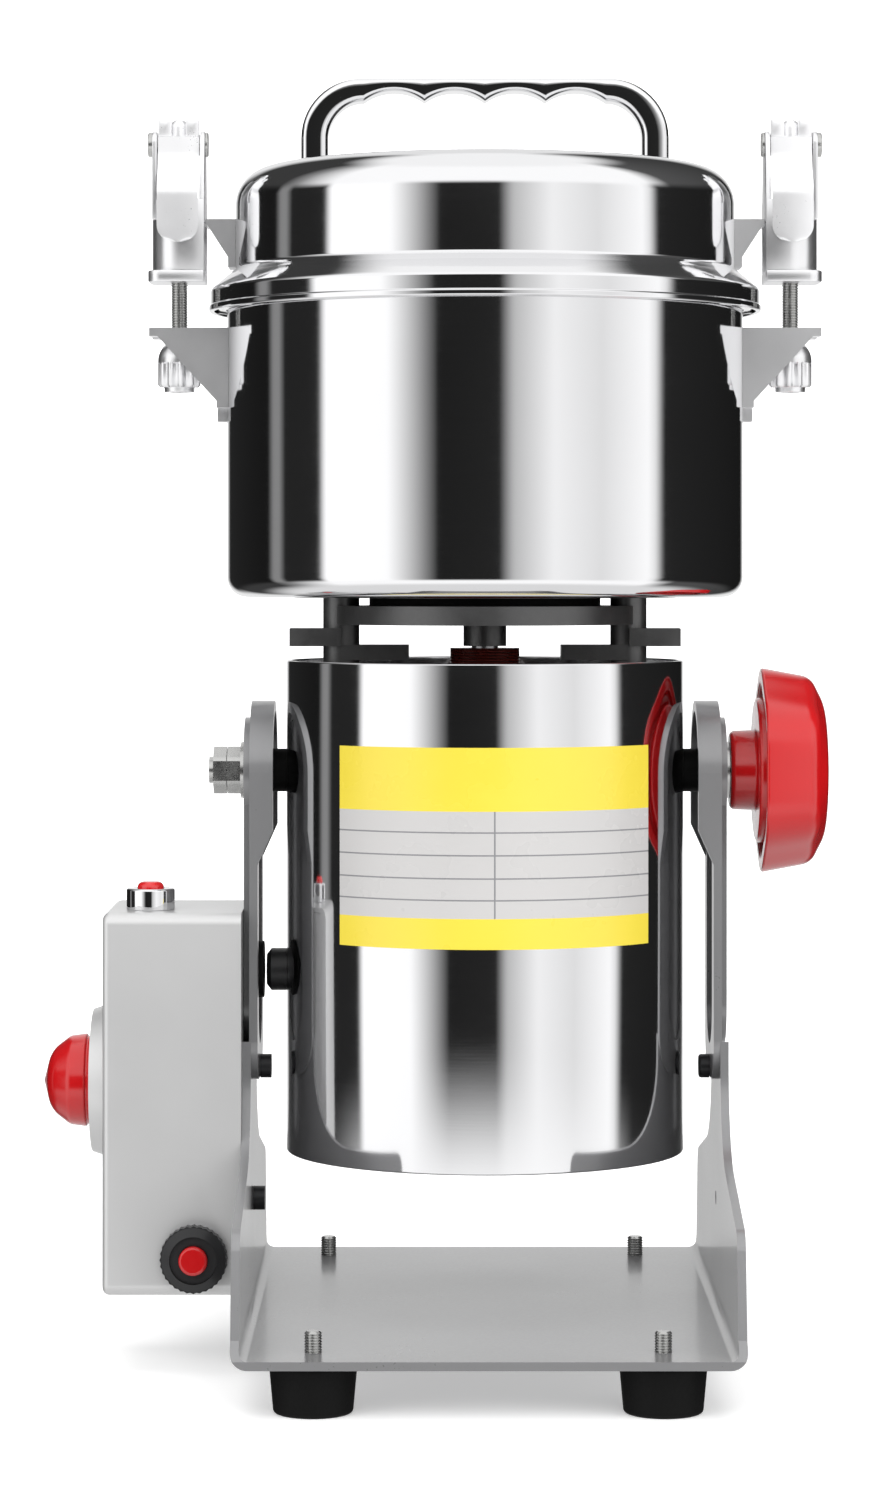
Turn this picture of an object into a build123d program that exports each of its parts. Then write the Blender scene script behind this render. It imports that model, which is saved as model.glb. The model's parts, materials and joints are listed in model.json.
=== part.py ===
"""Tilting stainless grinder: a motor can and bowl hung on two pivots in a bent steel stand.

Millimetres, +Z up. The origin is on the ground, under the axis of the motor can.
The front is -Y. The control box and its knob are on the -X side, the clamp knob on the +X side.
"""
from build123d import *
from math import cos, pi, sin, sqrt
import os

# Clearances
running_fit = 0.05
slip_gap = 0.3

# Feet and base plate
foot_height = 14.5
foot_diameter = 25.0
foot_taper = 1.2
stud_diameter = 5.0
stud_stand_out = 6.0
stud_spacing_x = 99.0
stud_spacing_y = 174.0
sheet = 2.5
base_width = 145.0
base_depth = 206.0
bend_radius = 2.5

# Arms of the stand
pivot_height = 177.6
arm_half_depth = 21.0
arm_flare_height = 50.9
arm_flare_half_depth = 91.5
arm_foot_height = 5.0
arm_foot_half_depth = 97.5
arm_flare_curve = 30.0
arm_flare_corner = 7.0
margin_step = 2.0
keyhole_radius = 16.0
keyhole_half_width = 12.5
keyhole_end_height = 95.0
margin_end_height = 85.0
head_rim_inset = 9.0
head_rim_wall = 3.2
arm_screw_heights = (48.0, 88.0)
arm_screw_diameter = 4.0
lead_height = 117.3

# Pivots
pivot_diameter = 8.0
pivot_nut_flats = 13.0
pivot_nut_thickness = 4.0
spacer_diameter = 13.0
washer_diameter = 17.0
washer_thickness = 1.2

# Motor can
can_radius = 60.0
can_wall = 1.0
can_bottom = 63.0
can_height = 148.0
cover_sheet = 1.5

# Cast bracket between the can and the bowl
post_radius_from_axis = 43.5
post_radius = 5.5
ear_length = 15.5
ear_width = 14.0
ear_thickness = 5.4
ear_lift = 4.2
foot_bar_reach = 20.5
foot_bar_thickness = 4.6
foot_bar_width = 12.0
ring_thickness = 5.6
ring_radius = 45.0
hub_radius = 6.5
hub_drop = 6.6
seat_ring_height = 6.0
seat_ring_width = 9.0

# Motor
shaft_radius = 4.0
core_radius = 25.5
core_length = 56.0
air_gap = 0.6
stator_radius = 49.0
stator_length = 60.0
winding_top_radius = 10.5
commutator_radius = 14.0
commutator_length = 18.0
fan_radius = 44.0
fan_height = 9.0
fan_blades = 9
bearing_radius = 11.0
bearing_width = 7.0

# Bowl
bowl_radius = 78.0
bowl_wall = 1.2
bowl_bottom = 230.0
bowl_height = 88.0
bowl_corner = 6.0
bowl_rim_width = 2.8
seal_radius = 35.0
seal_thickness = 2.5

# Blades
lower_blade_radius = 68.0
upper_blade_radius = 60.0
blade_thickness = 2.5
blade_lift = 6.0
blade_spacer_height = 10.0
blade_tip_length = 16.0
blade_tip_angle = 28.0
blade_nut_height = 8.0

# Lid
skirt_radius = 83.0
skirt_height = 6.7
lid_sheet = 1.2
lid_wall_radius = 75.5
lid_shoulder_rise = 4.3
lid_rise = 36.7
lid_corner = 11.0
gasket_width = 5.0

# Lid handle
handle_outer_width = 111.2
handle_leg = 8.2
handle_height = 27.3
handle_bar = 7.0
handle_depth = 13.0
handle_corner = 18.0
finger_pitch = 18.3
finger_depth = 3.1
handle_screw_diameter = 5.0

# Toggle latches
latch_offset = 92.5
rod_diameter = 5.0
flange_top = 311.0
flange_thickness = 2.5
flange_reach = 101.0
flange_half_width = 11.5
flange_slot = 6.4
bracket_sheet = 2.0
bracket_strap_bottom = 283.0
nut_radius = 6.5
nut_drop = 9.5
nut_knurls = 18
latch_foot_height = 325.0
latch_foot_thickness = 3.5
latch_body_height = 21.5
latch_half_depth = 9.0
latch_inner_face = 84.6
latch_outer_face = 100.6
latch_sheet = 1.5
lever_pin_height = 367.0
lever_pin_diameter = 4.0
lever_top = 8.0
lever_end_height = 337.0
lever_sheet = 1.6
lug_width = 14.0

# Control box
box_length = 41.2
box_bottom = 23.0
box_height = 113.5
box_front = -30.0
box_depth = 56.0
box_wall = 1.5
box_corner = 3.5
dial_diameter = 46.0
dial_thickness = 4.6
dial_height = 84.0
timer_knob_diameter = 28.0
timer_knob_length = 15.0
timer_knob_skirt = 3.0
timer_shaft_radius = 3.0
lamp_diameter = 14.5
lamp_height = 6.4
lens_diameter = 8.0
lens_height = 2.0
lamp_from_wall = 27.8
lamp_y = -14.0
reset_diameter = 20.0
reset_ring_height = 6.0
reset_button_diameter = 8.6
reset_travel = 2.5
reset_from_wall = 13.9
reset_height = 34.5
gland_diameter = 15.0
gland_length = 14.0
cord_hole_diameter = 7.2
cord_height = 45.0

# Clamp knob
knob_hub_radius = 12.0
knob_hub_length = 9.5
knob_radius = 31.0
knob_length = 21.5
knob_lobes = 6
knob_lobe_depth = 1.6
knob_wall = 3.0
knob_taper = 2.6
knob_shoulder = 6.0

# Places worked out from the sizes above
plate_top = foot_height + sheet
arm_outer = base_width / 2
arm_inner = arm_outer - sheet
can_top = can_bottom + can_height
bowl_top = bowl_bottom + bowl_height
bowl_floor = bowl_bottom + bowl_wall
ring_top = bowl_bottom - seal_thickness - 0.1
ring_bottom = ring_top - ring_thickness
gasket_bottom = bowl_top + 0.1
skirt_top = bowl_top + 4.7
skirt_bottom = skirt_top - skirt_height
gasket_top = skirt_top - lid_sheet - 0.1
lid_top = skirt_top + lid_rise
handle_top = lid_top + handle_height
latch_pivot = flange_top - flange_thickness - 0.5 - nut_radius
box_inner = -arm_outer
box_outer = box_inner - box_length
box_top = box_bottom + box_height
box_back = box_front + box_depth


def block(x0, x1, y0, y1, z0, z1):
    size = (x1 - x0, y1 - y0, z1 - z0)
    return Pos((x0 + x1) / 2, (y0 + y1) / 2, (z0 + z1) / 2) * Box(*size)


def rod_z(radius, z0, z1, x=0.0, y=0.0):
    return Pos(x, y, (z0 + z1) / 2) * Cylinder(radius, z1 - z0)


def rod_x(radius, x0, x1, z, y=0.0):
    return Pos((x0 + x1) / 2, y, z) * Rot(0, 90, 0) * Cylinder(radius, abs(x1 - x0))


def rod_y(radius, y0, y1, x, z):
    return Pos(x, (y0 + y1) / 2, z) * Rot(-90, 0, 0) * Cylinder(radius, abs(y1 - y0))


def rounded_face(points, rounds=()):
    """A face from its corner points; rounds pairs a corner's number with its radius."""
    face = make_face(Polyline(*points, close=True))
    for number, radius in rounds:
        corner = face.vertices().sort_by_distance(points[number])[0]
        face = fillet(corner, radius)
    return face


def turned(points, rounds=()):
    """A solid of revolution about Z from (radius, height) corners."""
    return revolve(rounded_face([(r, 0, z) for r, z in points], rounds), Axis.Z)


def turned_x(points, z, y=0.0, rounds=()):
    """A solid of revolution about a line along X from (x, radius) corners."""
    return Pos(0, y, z) * revolve(rounded_face([(x, 0, r) for x, r in points], rounds), Axis.X)


def plate_yz(points, x0, x1, rounds=()):
    """A plate square to X from (y, z) corners."""
    face = rounded_face([(x0, y, z) for y, z in points], rounds)
    return extrude(face, amount=x1 - x0, dir=(1, 0, 0))


def plate_xz(points, y0, y1, rounds=()):
    """A plate square to Y from (x, z) corners."""
    face = rounded_face([(x, y0, z) for x, z in points], rounds)
    return extrude(face, amount=y1 - y0, dir=(0, 1, 0))


def hexagon_x(flats, x0, x1, z):
    prism = extrude(RegularPolygon(flats / sqrt(3), 6), amount=abs(x1 - x0))
    return Pos(min(x0, x1), 0, z) * Rot(0, 90, 0) * prism


def knurled(radius, depth, count, height):
    """An upright prism whose side has a row of small ridges."""
    points = []
    for step in range(2 * count):
        reach = radius if step % 2 == 0 else radius - depth
        angle = pi * step / count
        points.append((reach * cos(angle), reach * sin(angle)))
    return extrude(make_face(Polyline(*points, close=True)), amount=height)


def both_sides(shape):
    return Compound(children=[shape, mirror(shape, Plane.YZ)])


def save(shape, node):
    export_step(shape, f"parts/{node}.step")


# ---------------------------------------------------------------- stand
def arm_outline(reach):
    """The side view of the stand: base, flared legs, stems and round heads."""
    half = base_depth / 2
    flare = arm_flare_height
    foot = plate_top + arm_foot_height
    lean = (arm_flare_half_depth - arm_half_depth) * 0.21
    lower = [
        (-half, foot_height - 1),
        (half, foot_height - 1),
        (half, plate_top),
        (arm_foot_half_depth, foot),
        (arm_flare_half_depth, flare),
        (arm_half_depth, flare + lean),
        (arm_half_depth, pivot_height),
        (-arm_half_depth, pivot_height),
        (-arm_half_depth, flare + lean),
        (-arm_flare_half_depth, flare),
        (-arm_foot_half_depth, foot),
        (-half, plate_top),
    ]
    rounds = [(number, arm_flare_curve) for number in (5, 8)]
    rounds += [(number, arm_flare_corner) for number in (4, 9)]
    outline = plate_yz(lower, -reach, reach, rounds)
    return outline + rod_x(arm_half_depth, -reach, reach, pivot_height)


def stem_outline(x0, x1, radius, half_width, end_height, end_round):
    """A round head with a stem below it, square to X."""
    stem = [
        (-half_width, end_height),
        (half_width, end_height),
        (half_width, pivot_height),
        (-half_width, pivot_height),
    ]
    rounds = [(0, end_round), (1, end_round)]
    return plate_yz(stem, x0, x1, rounds) + rod_x(radius, x0, x1, pivot_height)


def keyhole(x0, x1):
    end_round = keyhole_half_width - 0.05
    return stem_outline(
        x0, x1, keyhole_radius, keyhole_half_width, keyhole_end_height, end_round
    )


def pressed_margin(x0, x1):
    band = stem_outline(
        x0, x1, arm_half_depth, arm_half_depth, margin_end_height, keyhole_half_width
    )
    return band - keyhole(x0 - 1, x1 + 1)


def head_rim():
    """The deep turned-in edge round the head, which dies away down the stem."""
    x0 = arm_outer - head_rim_inset
    x1 = arm_inner + 0.5
    inside = arm_half_depth - head_rim_wall
    fade_end = pivot_height - 1.3 * arm_half_depth
    rim = stem_outline(x0, x1, arm_half_depth, arm_half_depth, fade_end, 1.0)
    rim -= stem_outline(x0 - 1, x1 + 1, inside, inside, fade_end - 9, 1.0)
    step = arm_inner - margin_step
    fade = [
        (x0 - 1, fade_end - 9),
        (step, fade_end - 9),
        (step, fade_end),
        (x0, fade_end + 10),
        (x0 - 1, fade_end + 10),
    ]
    rim -= plate_xz(fade, -arm_half_depth - 1, arm_half_depth + 1)
    return rim


def make_stand_frame():
    half = base_width / 2
    top = pivot_height + arm_half_depth + 1
    outer = [(-half, foot_height), (half, foot_height), (half, top), (-half, top)]
    inner = [(-arm_inner, plate_top), (arm_inner, plate_top), (arm_inner, top + 1), (-arm_inner, top + 1)]
    bends = [(0, bend_radius + sheet), (1, bend_radius + sheet)]
    channel = plate_xz(outer, -base_depth / 2, base_depth / 2, bends)
    channel -= plate_xz(
        inner, -base_depth / 2 - 1, base_depth / 2 + 1, [(0, bend_radius), (1, bend_radius)]
    )
    frame = channel & arm_outline(half + 5)
    margin_out = arm_outer - margin_step
    arm_dress = pressed_margin(arm_inner - margin_step, margin_out) + head_rim()
    for side in (1, -1):
        recess = pressed_margin(margin_out, arm_outer + 1)
        dress = arm_dress
        if side < 0:
            recess = mirror(recess, Plane.YZ)
            dress = mirror(dress, Plane.YZ)
        frame = frame - recess + dress
    frame -= rod_x(pivot_diameter / 2 + 0.2, -half - 5, half + 5, pivot_height)
    for height in arm_screw_heights:
        frame -= rod_x(arm_screw_diameter / 2 + 0.2, -half - 5, half + 5, height)
    frame -= rod_x(grommet_neck_radius + running_fit, -half - 5, 0, lead_height)
    for x, y in foot_places():
        frame -= rod_z(stud_diameter / 2 + running_fit, foot_height - 1, plate_top + 1, x, y)
    return frame


def foot_places():
    x, y = stud_spacing_x / 2, stud_spacing_y / 2
    return [(-x, -y), (x, -y), (x, y), (-x, y)]


stud_grip = foot_height * 0.6
grommet_neck_radius = 4.0


def make_feet():
    top, bottom = foot_diameter / 2, foot_diameter / 2 - foot_taper
    hole = stud_diameter / 2 + running_fit
    profile = [
        (hole, 0),
        (bottom, 0),
        (top, foot_height),
        (hole, foot_height),
    ]
    foot = turned(profile, [(1, 1.0)])
    cap = rod_z(hole, 0, foot_height - stud_grip - 0.1)
    foot += cap
    return Compound(children=[Pos(x, y, 0) * foot for x, y in foot_places()])


def make_studs():
    stud = rod_z(stud_diameter / 2, foot_height - stud_grip, plate_top + stud_stand_out)
    stud = chamfer(stud.edges().sort_by(Axis.Z)[-1], 0.6)
    return Compound(children=[Pos(x, y, 0) * stud for x, y in foot_places()])


# ---------------------------------------------------------------- pivots
def seated_on_can(shape):
    return shape - rod_z(can_radius + running_fit, can_bottom - 1, can_top + 1)


def make_spacer():
    spacer = rod_x(spacer_diameter / 2, can_radius - 3, arm_inner - 0.1, pivot_height)
    spacer -= rod_x(pivot_diameter / 2 + running_fit, can_radius - 4, arm_inner + 1, pivot_height)
    return seated_on_can(spacer)


bolt_head_length = 5.0
bolt_head_x = can_radius - can_wall - 6.2
washer_x = arm_outer + 0.1
first_nut_x = washer_x + washer_thickness + 0.05
second_nut_x = first_nut_x + pivot_nut_thickness + 0.2
left_bolt_end = second_nut_x + pivot_nut_thickness + 1.4
knob_start = washer_x + washer_thickness + 0.1
knob_bore_depth = knob_hub_length + 4.0


def pivot_bolt(end):
    bolt = hexagon_x(pivot_nut_flats, bolt_head_x, bolt_head_x + bolt_head_length, pivot_height)
    bolt += rod_x(pivot_diameter / 2, bolt_head_x, end, pivot_height)
    return bolt


def make_washer():
    washer = rod_x(washer_diameter / 2, washer_x, washer_x + washer_thickness, pivot_height)
    return washer - rod_x(
        pivot_diameter / 2 + running_fit, washer_x - 1, washer_x + washer_thickness + 1, pivot_height
    )


def pivot_nut(start):
    nut = hexagon_x(pivot_nut_flats, start, start + pivot_nut_thickness, pivot_height)
    bore = rod_x(
        pivot_diameter / 2 + running_fit, start - 1, start + pivot_nut_thickness + 1, pivot_height
    )
    corners = rod_x(pivot_nut_flats * 0.55, start, start + pivot_nut_thickness, pivot_height)
    return (nut & corners) - bore


def make_clamp_knob():
    """A six-lobed hollow cap on a round hub, turned by hand to lock the tilt."""
    start = knob_start
    back = start + knob_hub_length
    face = back + knob_length
    lobes = []
    steps = 8 * knob_lobes
    for step in range(steps):
        angle = 2 * pi * step / steps
        reach = knob_radius - knob_lobe_depth * (1 - cos(knob_lobes * angle)) / 2
        lobes.append((back, reach * sin(angle), pivot_height + reach * cos(angle)))
    outline = make_face(Spline(*lobes, periodic=True))
    cap = extrude(outline, amount=knob_length, dir=(1, 0, 0))
    crown = [
        (back, 0),
        (back, knob_radius + 0.3),
        (face - 0.3 * knob_length, knob_radius - knob_taper),
        (face - 0.1 * knob_length, 0.68 * knob_radius),
        (face, 0),
    ]
    cap = cap & turned_x(crown, pivot_height, rounds=[(2, knob_shoulder), (3, 1.5 * knob_shoulder)])
    inside = knob_radius - knob_lobe_depth - knob_wall - knob_taper
    hollow = [
        (back - 1, 0),
        (back - 1, inside + 1),
        (face - 2 * knob_wall, inside - 1),
        (face - 2 * knob_wall, 0),
    ]
    cap -= turned_x(hollow, pivot_height, rounds=[(2, 4.0)])
    hub = [
        (start, 0),
        (start, knob_hub_radius - 1.2),
        (start + 2, knob_hub_radius),
        (face - knob_wall, knob_hub_radius),
        (face - knob_wall, 0),
    ]
    knob = cap + turned_x(hub, pivot_height)
    for spoke in range(knob_lobes):
        rib = block(back + 2, face - knob_wall, -1.2, 1.2, 0, inside)
        knob += Pos(0, 0, pivot_height) * Rot(360 / knob_lobes * spoke, 0, 0) * rib
    bore = rod_x(pivot_diameter / 2 + running_fit, start - 1, start + knob_bore_depth, pivot_height)
    return knob - bore


# ---------------------------------------------------------------- can and bracket
gland_neck_radius = 4.4
cover_top = can_bottom + cover_sheet


def make_can():
    can = turned(
        [
            (can_radius - can_wall, can_bottom),
            (can_radius, can_bottom),
            (can_radius, can_top),
            (can_radius - can_wall, can_top),
        ]
    )
    can -= rod_x(pivot_diameter / 2 + running_fit, -can_radius - 5, can_radius + 5, pivot_height)
    can -= rod_x(gland_neck_radius + running_fit, -can_radius - 5, 0, lead_height)
    return can - can_screw_holes()


def can_screw_holes():
    """The radial holes that the can's upper screws pass through."""
    hole = Pos(can_radius - 2, 0, seat_ring_middle) * Rot(0, 90, 0)
    hole = hole * Cylinder(can_screw_radius + running_fit, 14)
    return Compound(children=[Rot(0, 0, angle) * hole for angle in can_screw_angles])


seat_ring_top = can_top - 3.0
seat_ring_bottom = seat_ring_top - seat_ring_height
seat_ring_middle = seat_ring_top - seat_ring_height / 2


def make_bottom_cover():
    """The dished plate under the can, with rows of air slots."""
    radius = can_radius - can_wall - 0.1
    cover = rod_z(radius, can_bottom, cover_top)
    upstand = rod_z(radius, cover_top, cover_top + 6)
    cover += upstand - rod_z(radius - cover_sheet, cover_top - 1, cover_top + 7)
    for row in (22.0, 32.0, 42.0):
        count = int(row * 0.45)
        for step in range(count):
            slot = extrude(SlotOverall(8.0, 3.0), amount=cover_sheet * 3)
            cover -= Rot(0, 0, 360 / count * step) * Pos(row, 0, can_bottom - 1) * slot
    return cover


def make_upper_bracket():
    """The casting that holds the bowl over the can: posts, ears, bearing plate and seat ring."""
    seat_radius = can_radius - can_wall - 0.1
    bracket = rod_z(seat_radius, seat_ring_bottom, seat_ring_top)
    bracket -= rod_z(seat_radius - seat_ring_width, seat_ring_bottom - 1, seat_ring_top + 1)
    plate = rod_z(ring_radius, ring_bottom, ring_top)
    window_outer, window_inner = ring_radius - 9, hub_radius + 6
    windows = rod_z(window_outer, ring_bottom - 1, ring_top + 1)
    windows -= rod_z(window_inner, ring_bottom - 2, ring_top + 2)
    for angle in (0, 90):
        windows -= Rot(0, 0, angle) * block(
            -ring_radius, ring_radius, -5, 5, ring_bottom - 2, ring_top + 2
        )
    plate -= windows
    plate += rod_z(hub_radius, ring_bottom - hub_drop, ring_top)
    bracket += plate
    foot_top = can_top + foot_bar_thickness
    for side in (1, -1):
        x = side * post_radius_from_axis
        post = rod_z(post_radius, seat_ring_bottom, bowl_bottom - 0.05, x)
        reach = x - side * foot_bar_reach
        bar = block(
            min(x, reach), max(x, reach), -foot_bar_width / 2, foot_bar_width / 2, can_top, foot_top
        )
        seat = x + side * (seat_radius - 2 - post_radius_from_axis)
        seat_block = block(
            min(x, seat), max(x, seat), -post_radius, post_radius, seat_ring_bottom, seat_ring_top
        )
        ear_end = x + side * ear_length
        ear_base = can_top + ear_lift
        ear = block(
            min(x, ear_end), max(x, ear_end), -ear_width / 2, ear_width / 2, ear_base, ear_base + ear_thickness
        )
        bracket += post + bar + seat_block + ear
        bracket -= rod_z(bowl_screw_radius + running_fit, bowl_screw_bottom, bowl_bottom + 1, x)
    bracket -= rod_z(bush_radius + running_fit, ring_bottom - hub_drop + 1.5, ring_top + 1)
    bracket -= rod_z(shaft_radius + 0.5, ring_bottom - hub_drop - 1, ring_top + 1)
    return bracket - can_screw_holes()


can_screw_angles = (30, 90, 150)
can_screw_radius = 2.0
bush_radius = 5.4
bowl_screw_radius = 2.5
bowl_screw_bottom = bowl_bottom - 12.0
screw_head_radius = 4.5


def make_can_screws():
    """Four short screws through the can wall into the seat ring."""
    head = rod_x(3.6, can_radius + 0.1, can_radius + 1.9, seat_ring_middle)
    screw = head + rod_x(can_screw_radius, can_radius - 6, can_radius + 1, seat_ring_middle)
    return Compound(children=[Rot(0, 0, angle) * screw for angle in can_screw_angles])


# ---------------------------------------------------------------- motor
stator_bottom = 134.0
core_bottom = stator_bottom + (stator_length - core_length) / 2
core_top = core_bottom + core_length
winding_top = can_top + foot_bar_thickness - 1.0
commutator_bottom = core_bottom - 20.0 - commutator_length
lower_bracket_z = commutator_bottom - 14.0
shaft_bottom = can_bottom + 5.0
lower_blade_z = bowl_floor + blade_lift
upper_blade_z = lower_blade_z + blade_thickness + blade_spacer_height
blade_nut_z = upper_blade_z + blade_thickness
shaft_top = blade_nut_z + blade_nut_height - 2.0


def make_shaft():
    shaft = rod_z(shaft_radius, shaft_bottom, shaft_top)
    return chamfer(shaft.edges().sort_by(Axis.Z)[-1], 0.8)


def make_core():
    core = rod_z(core_radius, core_bottom, core_top)
    for step in range(12):
        slot = block(core_radius - 7, core_radius + 1, -1.5, 1.5, core_bottom - 1, core_top + 1)
        core -= Rot(0, 0, 30 * step) * slot
    return core - rod_z(shaft_radius + running_fit, core_bottom - 1, core_top + 1)


def make_winding():
    """The varnished end turns above and below the armature core."""
    wide = core_radius - 2.5
    upper = turned(
        [
            (shaft_radius + 0.3, core_top + 0.1),
            (wide, core_top + 0.1),
            (wide, core_top + 6),
            (winding_top_radius, can_top - 2),
            (winding_top_radius, winding_top),
            (shaft_radius + 0.3, winding_top),
        ],
        [(2, 3.0)],
    )
    lower = turned(
        [
            (shaft_radius + 0.3, core_bottom - 0.1),
            (wide, core_bottom - 0.1),
            (wide, core_bottom - 7),
            (commutator_radius, core_bottom - 18),
            (shaft_radius + 0.3, core_bottom - 18),
        ],
        [(2, 3.0)],
    )
    return Compound(children=[upper, lower])


def make_commutator():
    top = commutator_bottom + commutator_length
    commutator = rod_z(commutator_radius, commutator_bottom, top)
    for step in range(24):
        slit = block(commutator_radius - 1, commutator_radius + 1, -0.3, 0.3, commutator_bottom - 1, top + 1)
        commutator -= Rot(0, 0, 15 * step) * slit
    return commutator - rod_z(shaft_radius + running_fit, commutator_bottom - 1, top + 1)


def make_stator():
    top = stator_bottom + stator_length
    stator = rod_z(stator_radius, stator_bottom, top)
    stator -= rod_z(core_radius + air_gap, stator_bottom - 1, top + 1)
    for side in (1, -1):
        for y in (1, -1):
            x0, x1 = sorted((side * 12.0, side * 36.0))
            y0, y1 = sorted((y * 26.0, y * 37.0))
            stator -= block(x0, x1, y0, y1, stator_bottom - 1, top + 1)
    return stator


def make_field_coils():
    """Two coils wound round the field poles, seen as rolls at both ends of the pack."""
    top = stator_bottom + stator_length
    coils = []
    for side in (1, -1):
        x0, x1 = sorted((side * 12.5, side * 35.5))
        for y in (1, -1):
            y0, y1 = sorted((y * 26.5, y * 36.5))
            coils.append(block(x0, x1, y0, y1, stator_bottom - 7, top + 7))
    front = coils[0] + coils[2]
    back = coils[1] + coils[3]
    roll = block(-30, 30, -36.5, -26.5, top + 0.3, top + 7)
    low_roll = block(-30, 30, -36.5, -26.5, stator_bottom - 7, stator_bottom - 0.3)
    back = back + roll + low_roll
    front = front + mirror(roll + low_roll, Plane.XZ)
    return Compound(children=[front, back])


def make_brush_holders():
    middle = commutator_bottom + commutator_length / 2
    reach = commutator_radius + 0.3
    holders = []
    for side in (1, -1):
        y0, y1 = sorted((side * reach, side * (reach + 27)))
        holder = block(-5, 5, y0, y1, middle - 5, middle + 5)
        z0 = lower_bracket_z + 6
        leg0, leg1 = sorted((side * (reach + 16), side * (reach + 24)))
        holder += block(-5, 5, leg0, leg1, z0, middle)
        holders.append(holder)
    return Compound(children=holders)


def make_lower_bracket():
    """The spider in the can's lower end that carries the lower bearing."""
    outer = can_radius - can_wall - 0.1
    z0, z1 = lower_bracket_z, lower_bracket_z + 6
    bracket = rod_z(outer, z0, z1) - rod_z(outer - 6, z0 - 1, z1 + 1)
    for angle in (0, 60, 120):
        bracket += Rot(0, 0, angle) * block(-outer + 2, outer - 2, -5, 5, z0, z1)
    bracket += rod_z(bearing_radius + 3, z0, z0 + bearing_width + 1.5)
    bracket -= rod_z(bearing_radius + running_fit, z0 + 1.5, z0 + bearing_width + 3)
    return bracket - rod_z(shaft_radius + 1, z0 - 1, z1 + 9)


def make_lower_bearing():
    z0 = lower_bracket_z + 1.5
    bearing = rod_z(bearing_radius, z0, z0 + bearing_width)
    return bearing - rod_z(shaft_radius + running_fit, z0 - 1, z0 + bearing_width + 1)


def make_upper_bearing():
    z0, z1 = ring_bottom - hub_drop + 1.5, ring_top
    return rod_z(bush_radius, z0, z1) - rod_z(shaft_radius + running_fit, z0 - 1, z1 + 1)


def make_fan():
    """The cooling fan on the lower end of the shaft."""
    z0 = shaft_bottom + 1.0
    z1 = z0 + fan_height
    fan = rod_z(fan_radius, z1 - 1.5, z1) + rod_z(9.0, z0, z1)
    for step in range(fan_blades):
        vane = block(10, fan_radius, -0.8, 0.8, z0, z1 - 0.5)
        fan += Rot(0, 0, 360 / fan_blades * step) * vane
    return fan - rod_z(shaft_radius + running_fit, z0 - 1, z1 + 1)


# ---------------------------------------------------------------- bowl and blades
def make_bowl():
    rim = bowl_radius + bowl_rim_width
    outer = turned(
        [(0, bowl_bottom), (bowl_radius, bowl_bottom), (bowl_radius, bowl_top), (0, bowl_top)],
        [(1, bowl_corner)],
    )
    outer += rod_z(rim, bowl_top - bowl_wall, bowl_top)
    inside = bowl_radius - bowl_wall
    bowl = outer - turned(
        [(0, bowl_floor), (inside, bowl_floor), (inside, bowl_top + 1), (0, bowl_top + 1)],
        [(1, bowl_corner - bowl_wall)],
    )
    bowl -= rod_z(collar_radius + running_fit, bowl_bottom - 1, bowl_floor + 1)
    for side in (1, -1):
        bowl -= rod_z(
            bowl_screw_radius + running_fit, bowl_bottom - 1, bowl_floor + 1, side * post_radius_from_axis
        )
    return bowl


collar_radius = 6.9


def make_bowl_seal():
    seal = rod_z(seal_radius, bowl_bottom - seal_thickness, bowl_bottom - 0.02)
    return seal - rod_z(collar_radius + running_fit, bowl_bottom - seal_thickness - 1, bowl_bottom)


def make_shaft_collar():
    """The sealed collar that the shaft comes through in the bowl's floor."""
    collar = turned(
        [
            (shaft_radius + running_fit, bowl_bottom - 2),
            (collar_radius, bowl_bottom - 2),
            (collar_radius, bowl_floor + 0.02),
            (collar_radius + 5, bowl_floor + 0.02),
            (collar_radius + 5, bowl_floor + 2),
            (collar_radius + 1, bowl_floor + blade_lift - 0.5),
            (shaft_radius + running_fit, bowl_floor + blade_lift - 0.5),
        ]
    )
    return collar


def make_bowl_screws():
    screws = []
    for side in (1, -1):
        x = side * post_radius_from_axis
        screw = rod_z(bowl_screw_radius, bowl_screw_bottom + 1, bowl_floor + 0.1, x)
        screw += rod_z(screw_head_radius, bowl_floor + 0.02, bowl_floor + 2.4, x)
        screws.append(screw)
    return Compound(children=screws)


def make_blade(length, z0, tip_up):
    """A two-armed sickle blade; its tips are bent up or down."""
    arm = [
        (0, -10, z0),
        (length * 0.55, -8, z0),
        (length, 3, z0),
        (length - 3, 9, z0),
        (length * 0.5, 8, z0),
        (0, 10, z0),
    ]
    flat = extrude(rounded_face(arm, [(2, 2.0)]), amount=blade_thickness, dir=(0, 0, 1))
    bend_x = length - blade_tip_length
    tip = flat & block(bend_x, length + 1, -20, 20, z0 - 1, z0 + blade_thickness + 1)
    flat -= block(bend_x, length + 1, -20, 20, z0 - 1, z0 + blade_thickness + 1)
    if tip_up:
        hinge = Pos(bend_x, 0, z0)
        turn = Rot(0, -blade_tip_angle, 0)
    else:
        hinge = Pos(bend_x, 0, z0 + blade_thickness)
        turn = Rot(0, blade_tip_angle * 0.25, 0)
    tip = hinge * turn * hinge.inverse() * tip
    arm_solid = flat + tip
    blade = arm_solid + Rot(0, 0, 180) * arm_solid
    blade += rod_z(12.0, z0, z0 + blade_thickness)
    return blade - rod_z(shaft_radius + running_fit, z0 - 1, z0 + blade_thickness + 1)


def make_blade_spacer():
    z0 = lower_blade_z + blade_thickness + 0.02
    z1 = upper_blade_z - 0.02
    spacer = rod_z(8.0, z0, z1)
    return spacer - rod_z(shaft_radius + running_fit, z0 - 1, z1 + 1)


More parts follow.
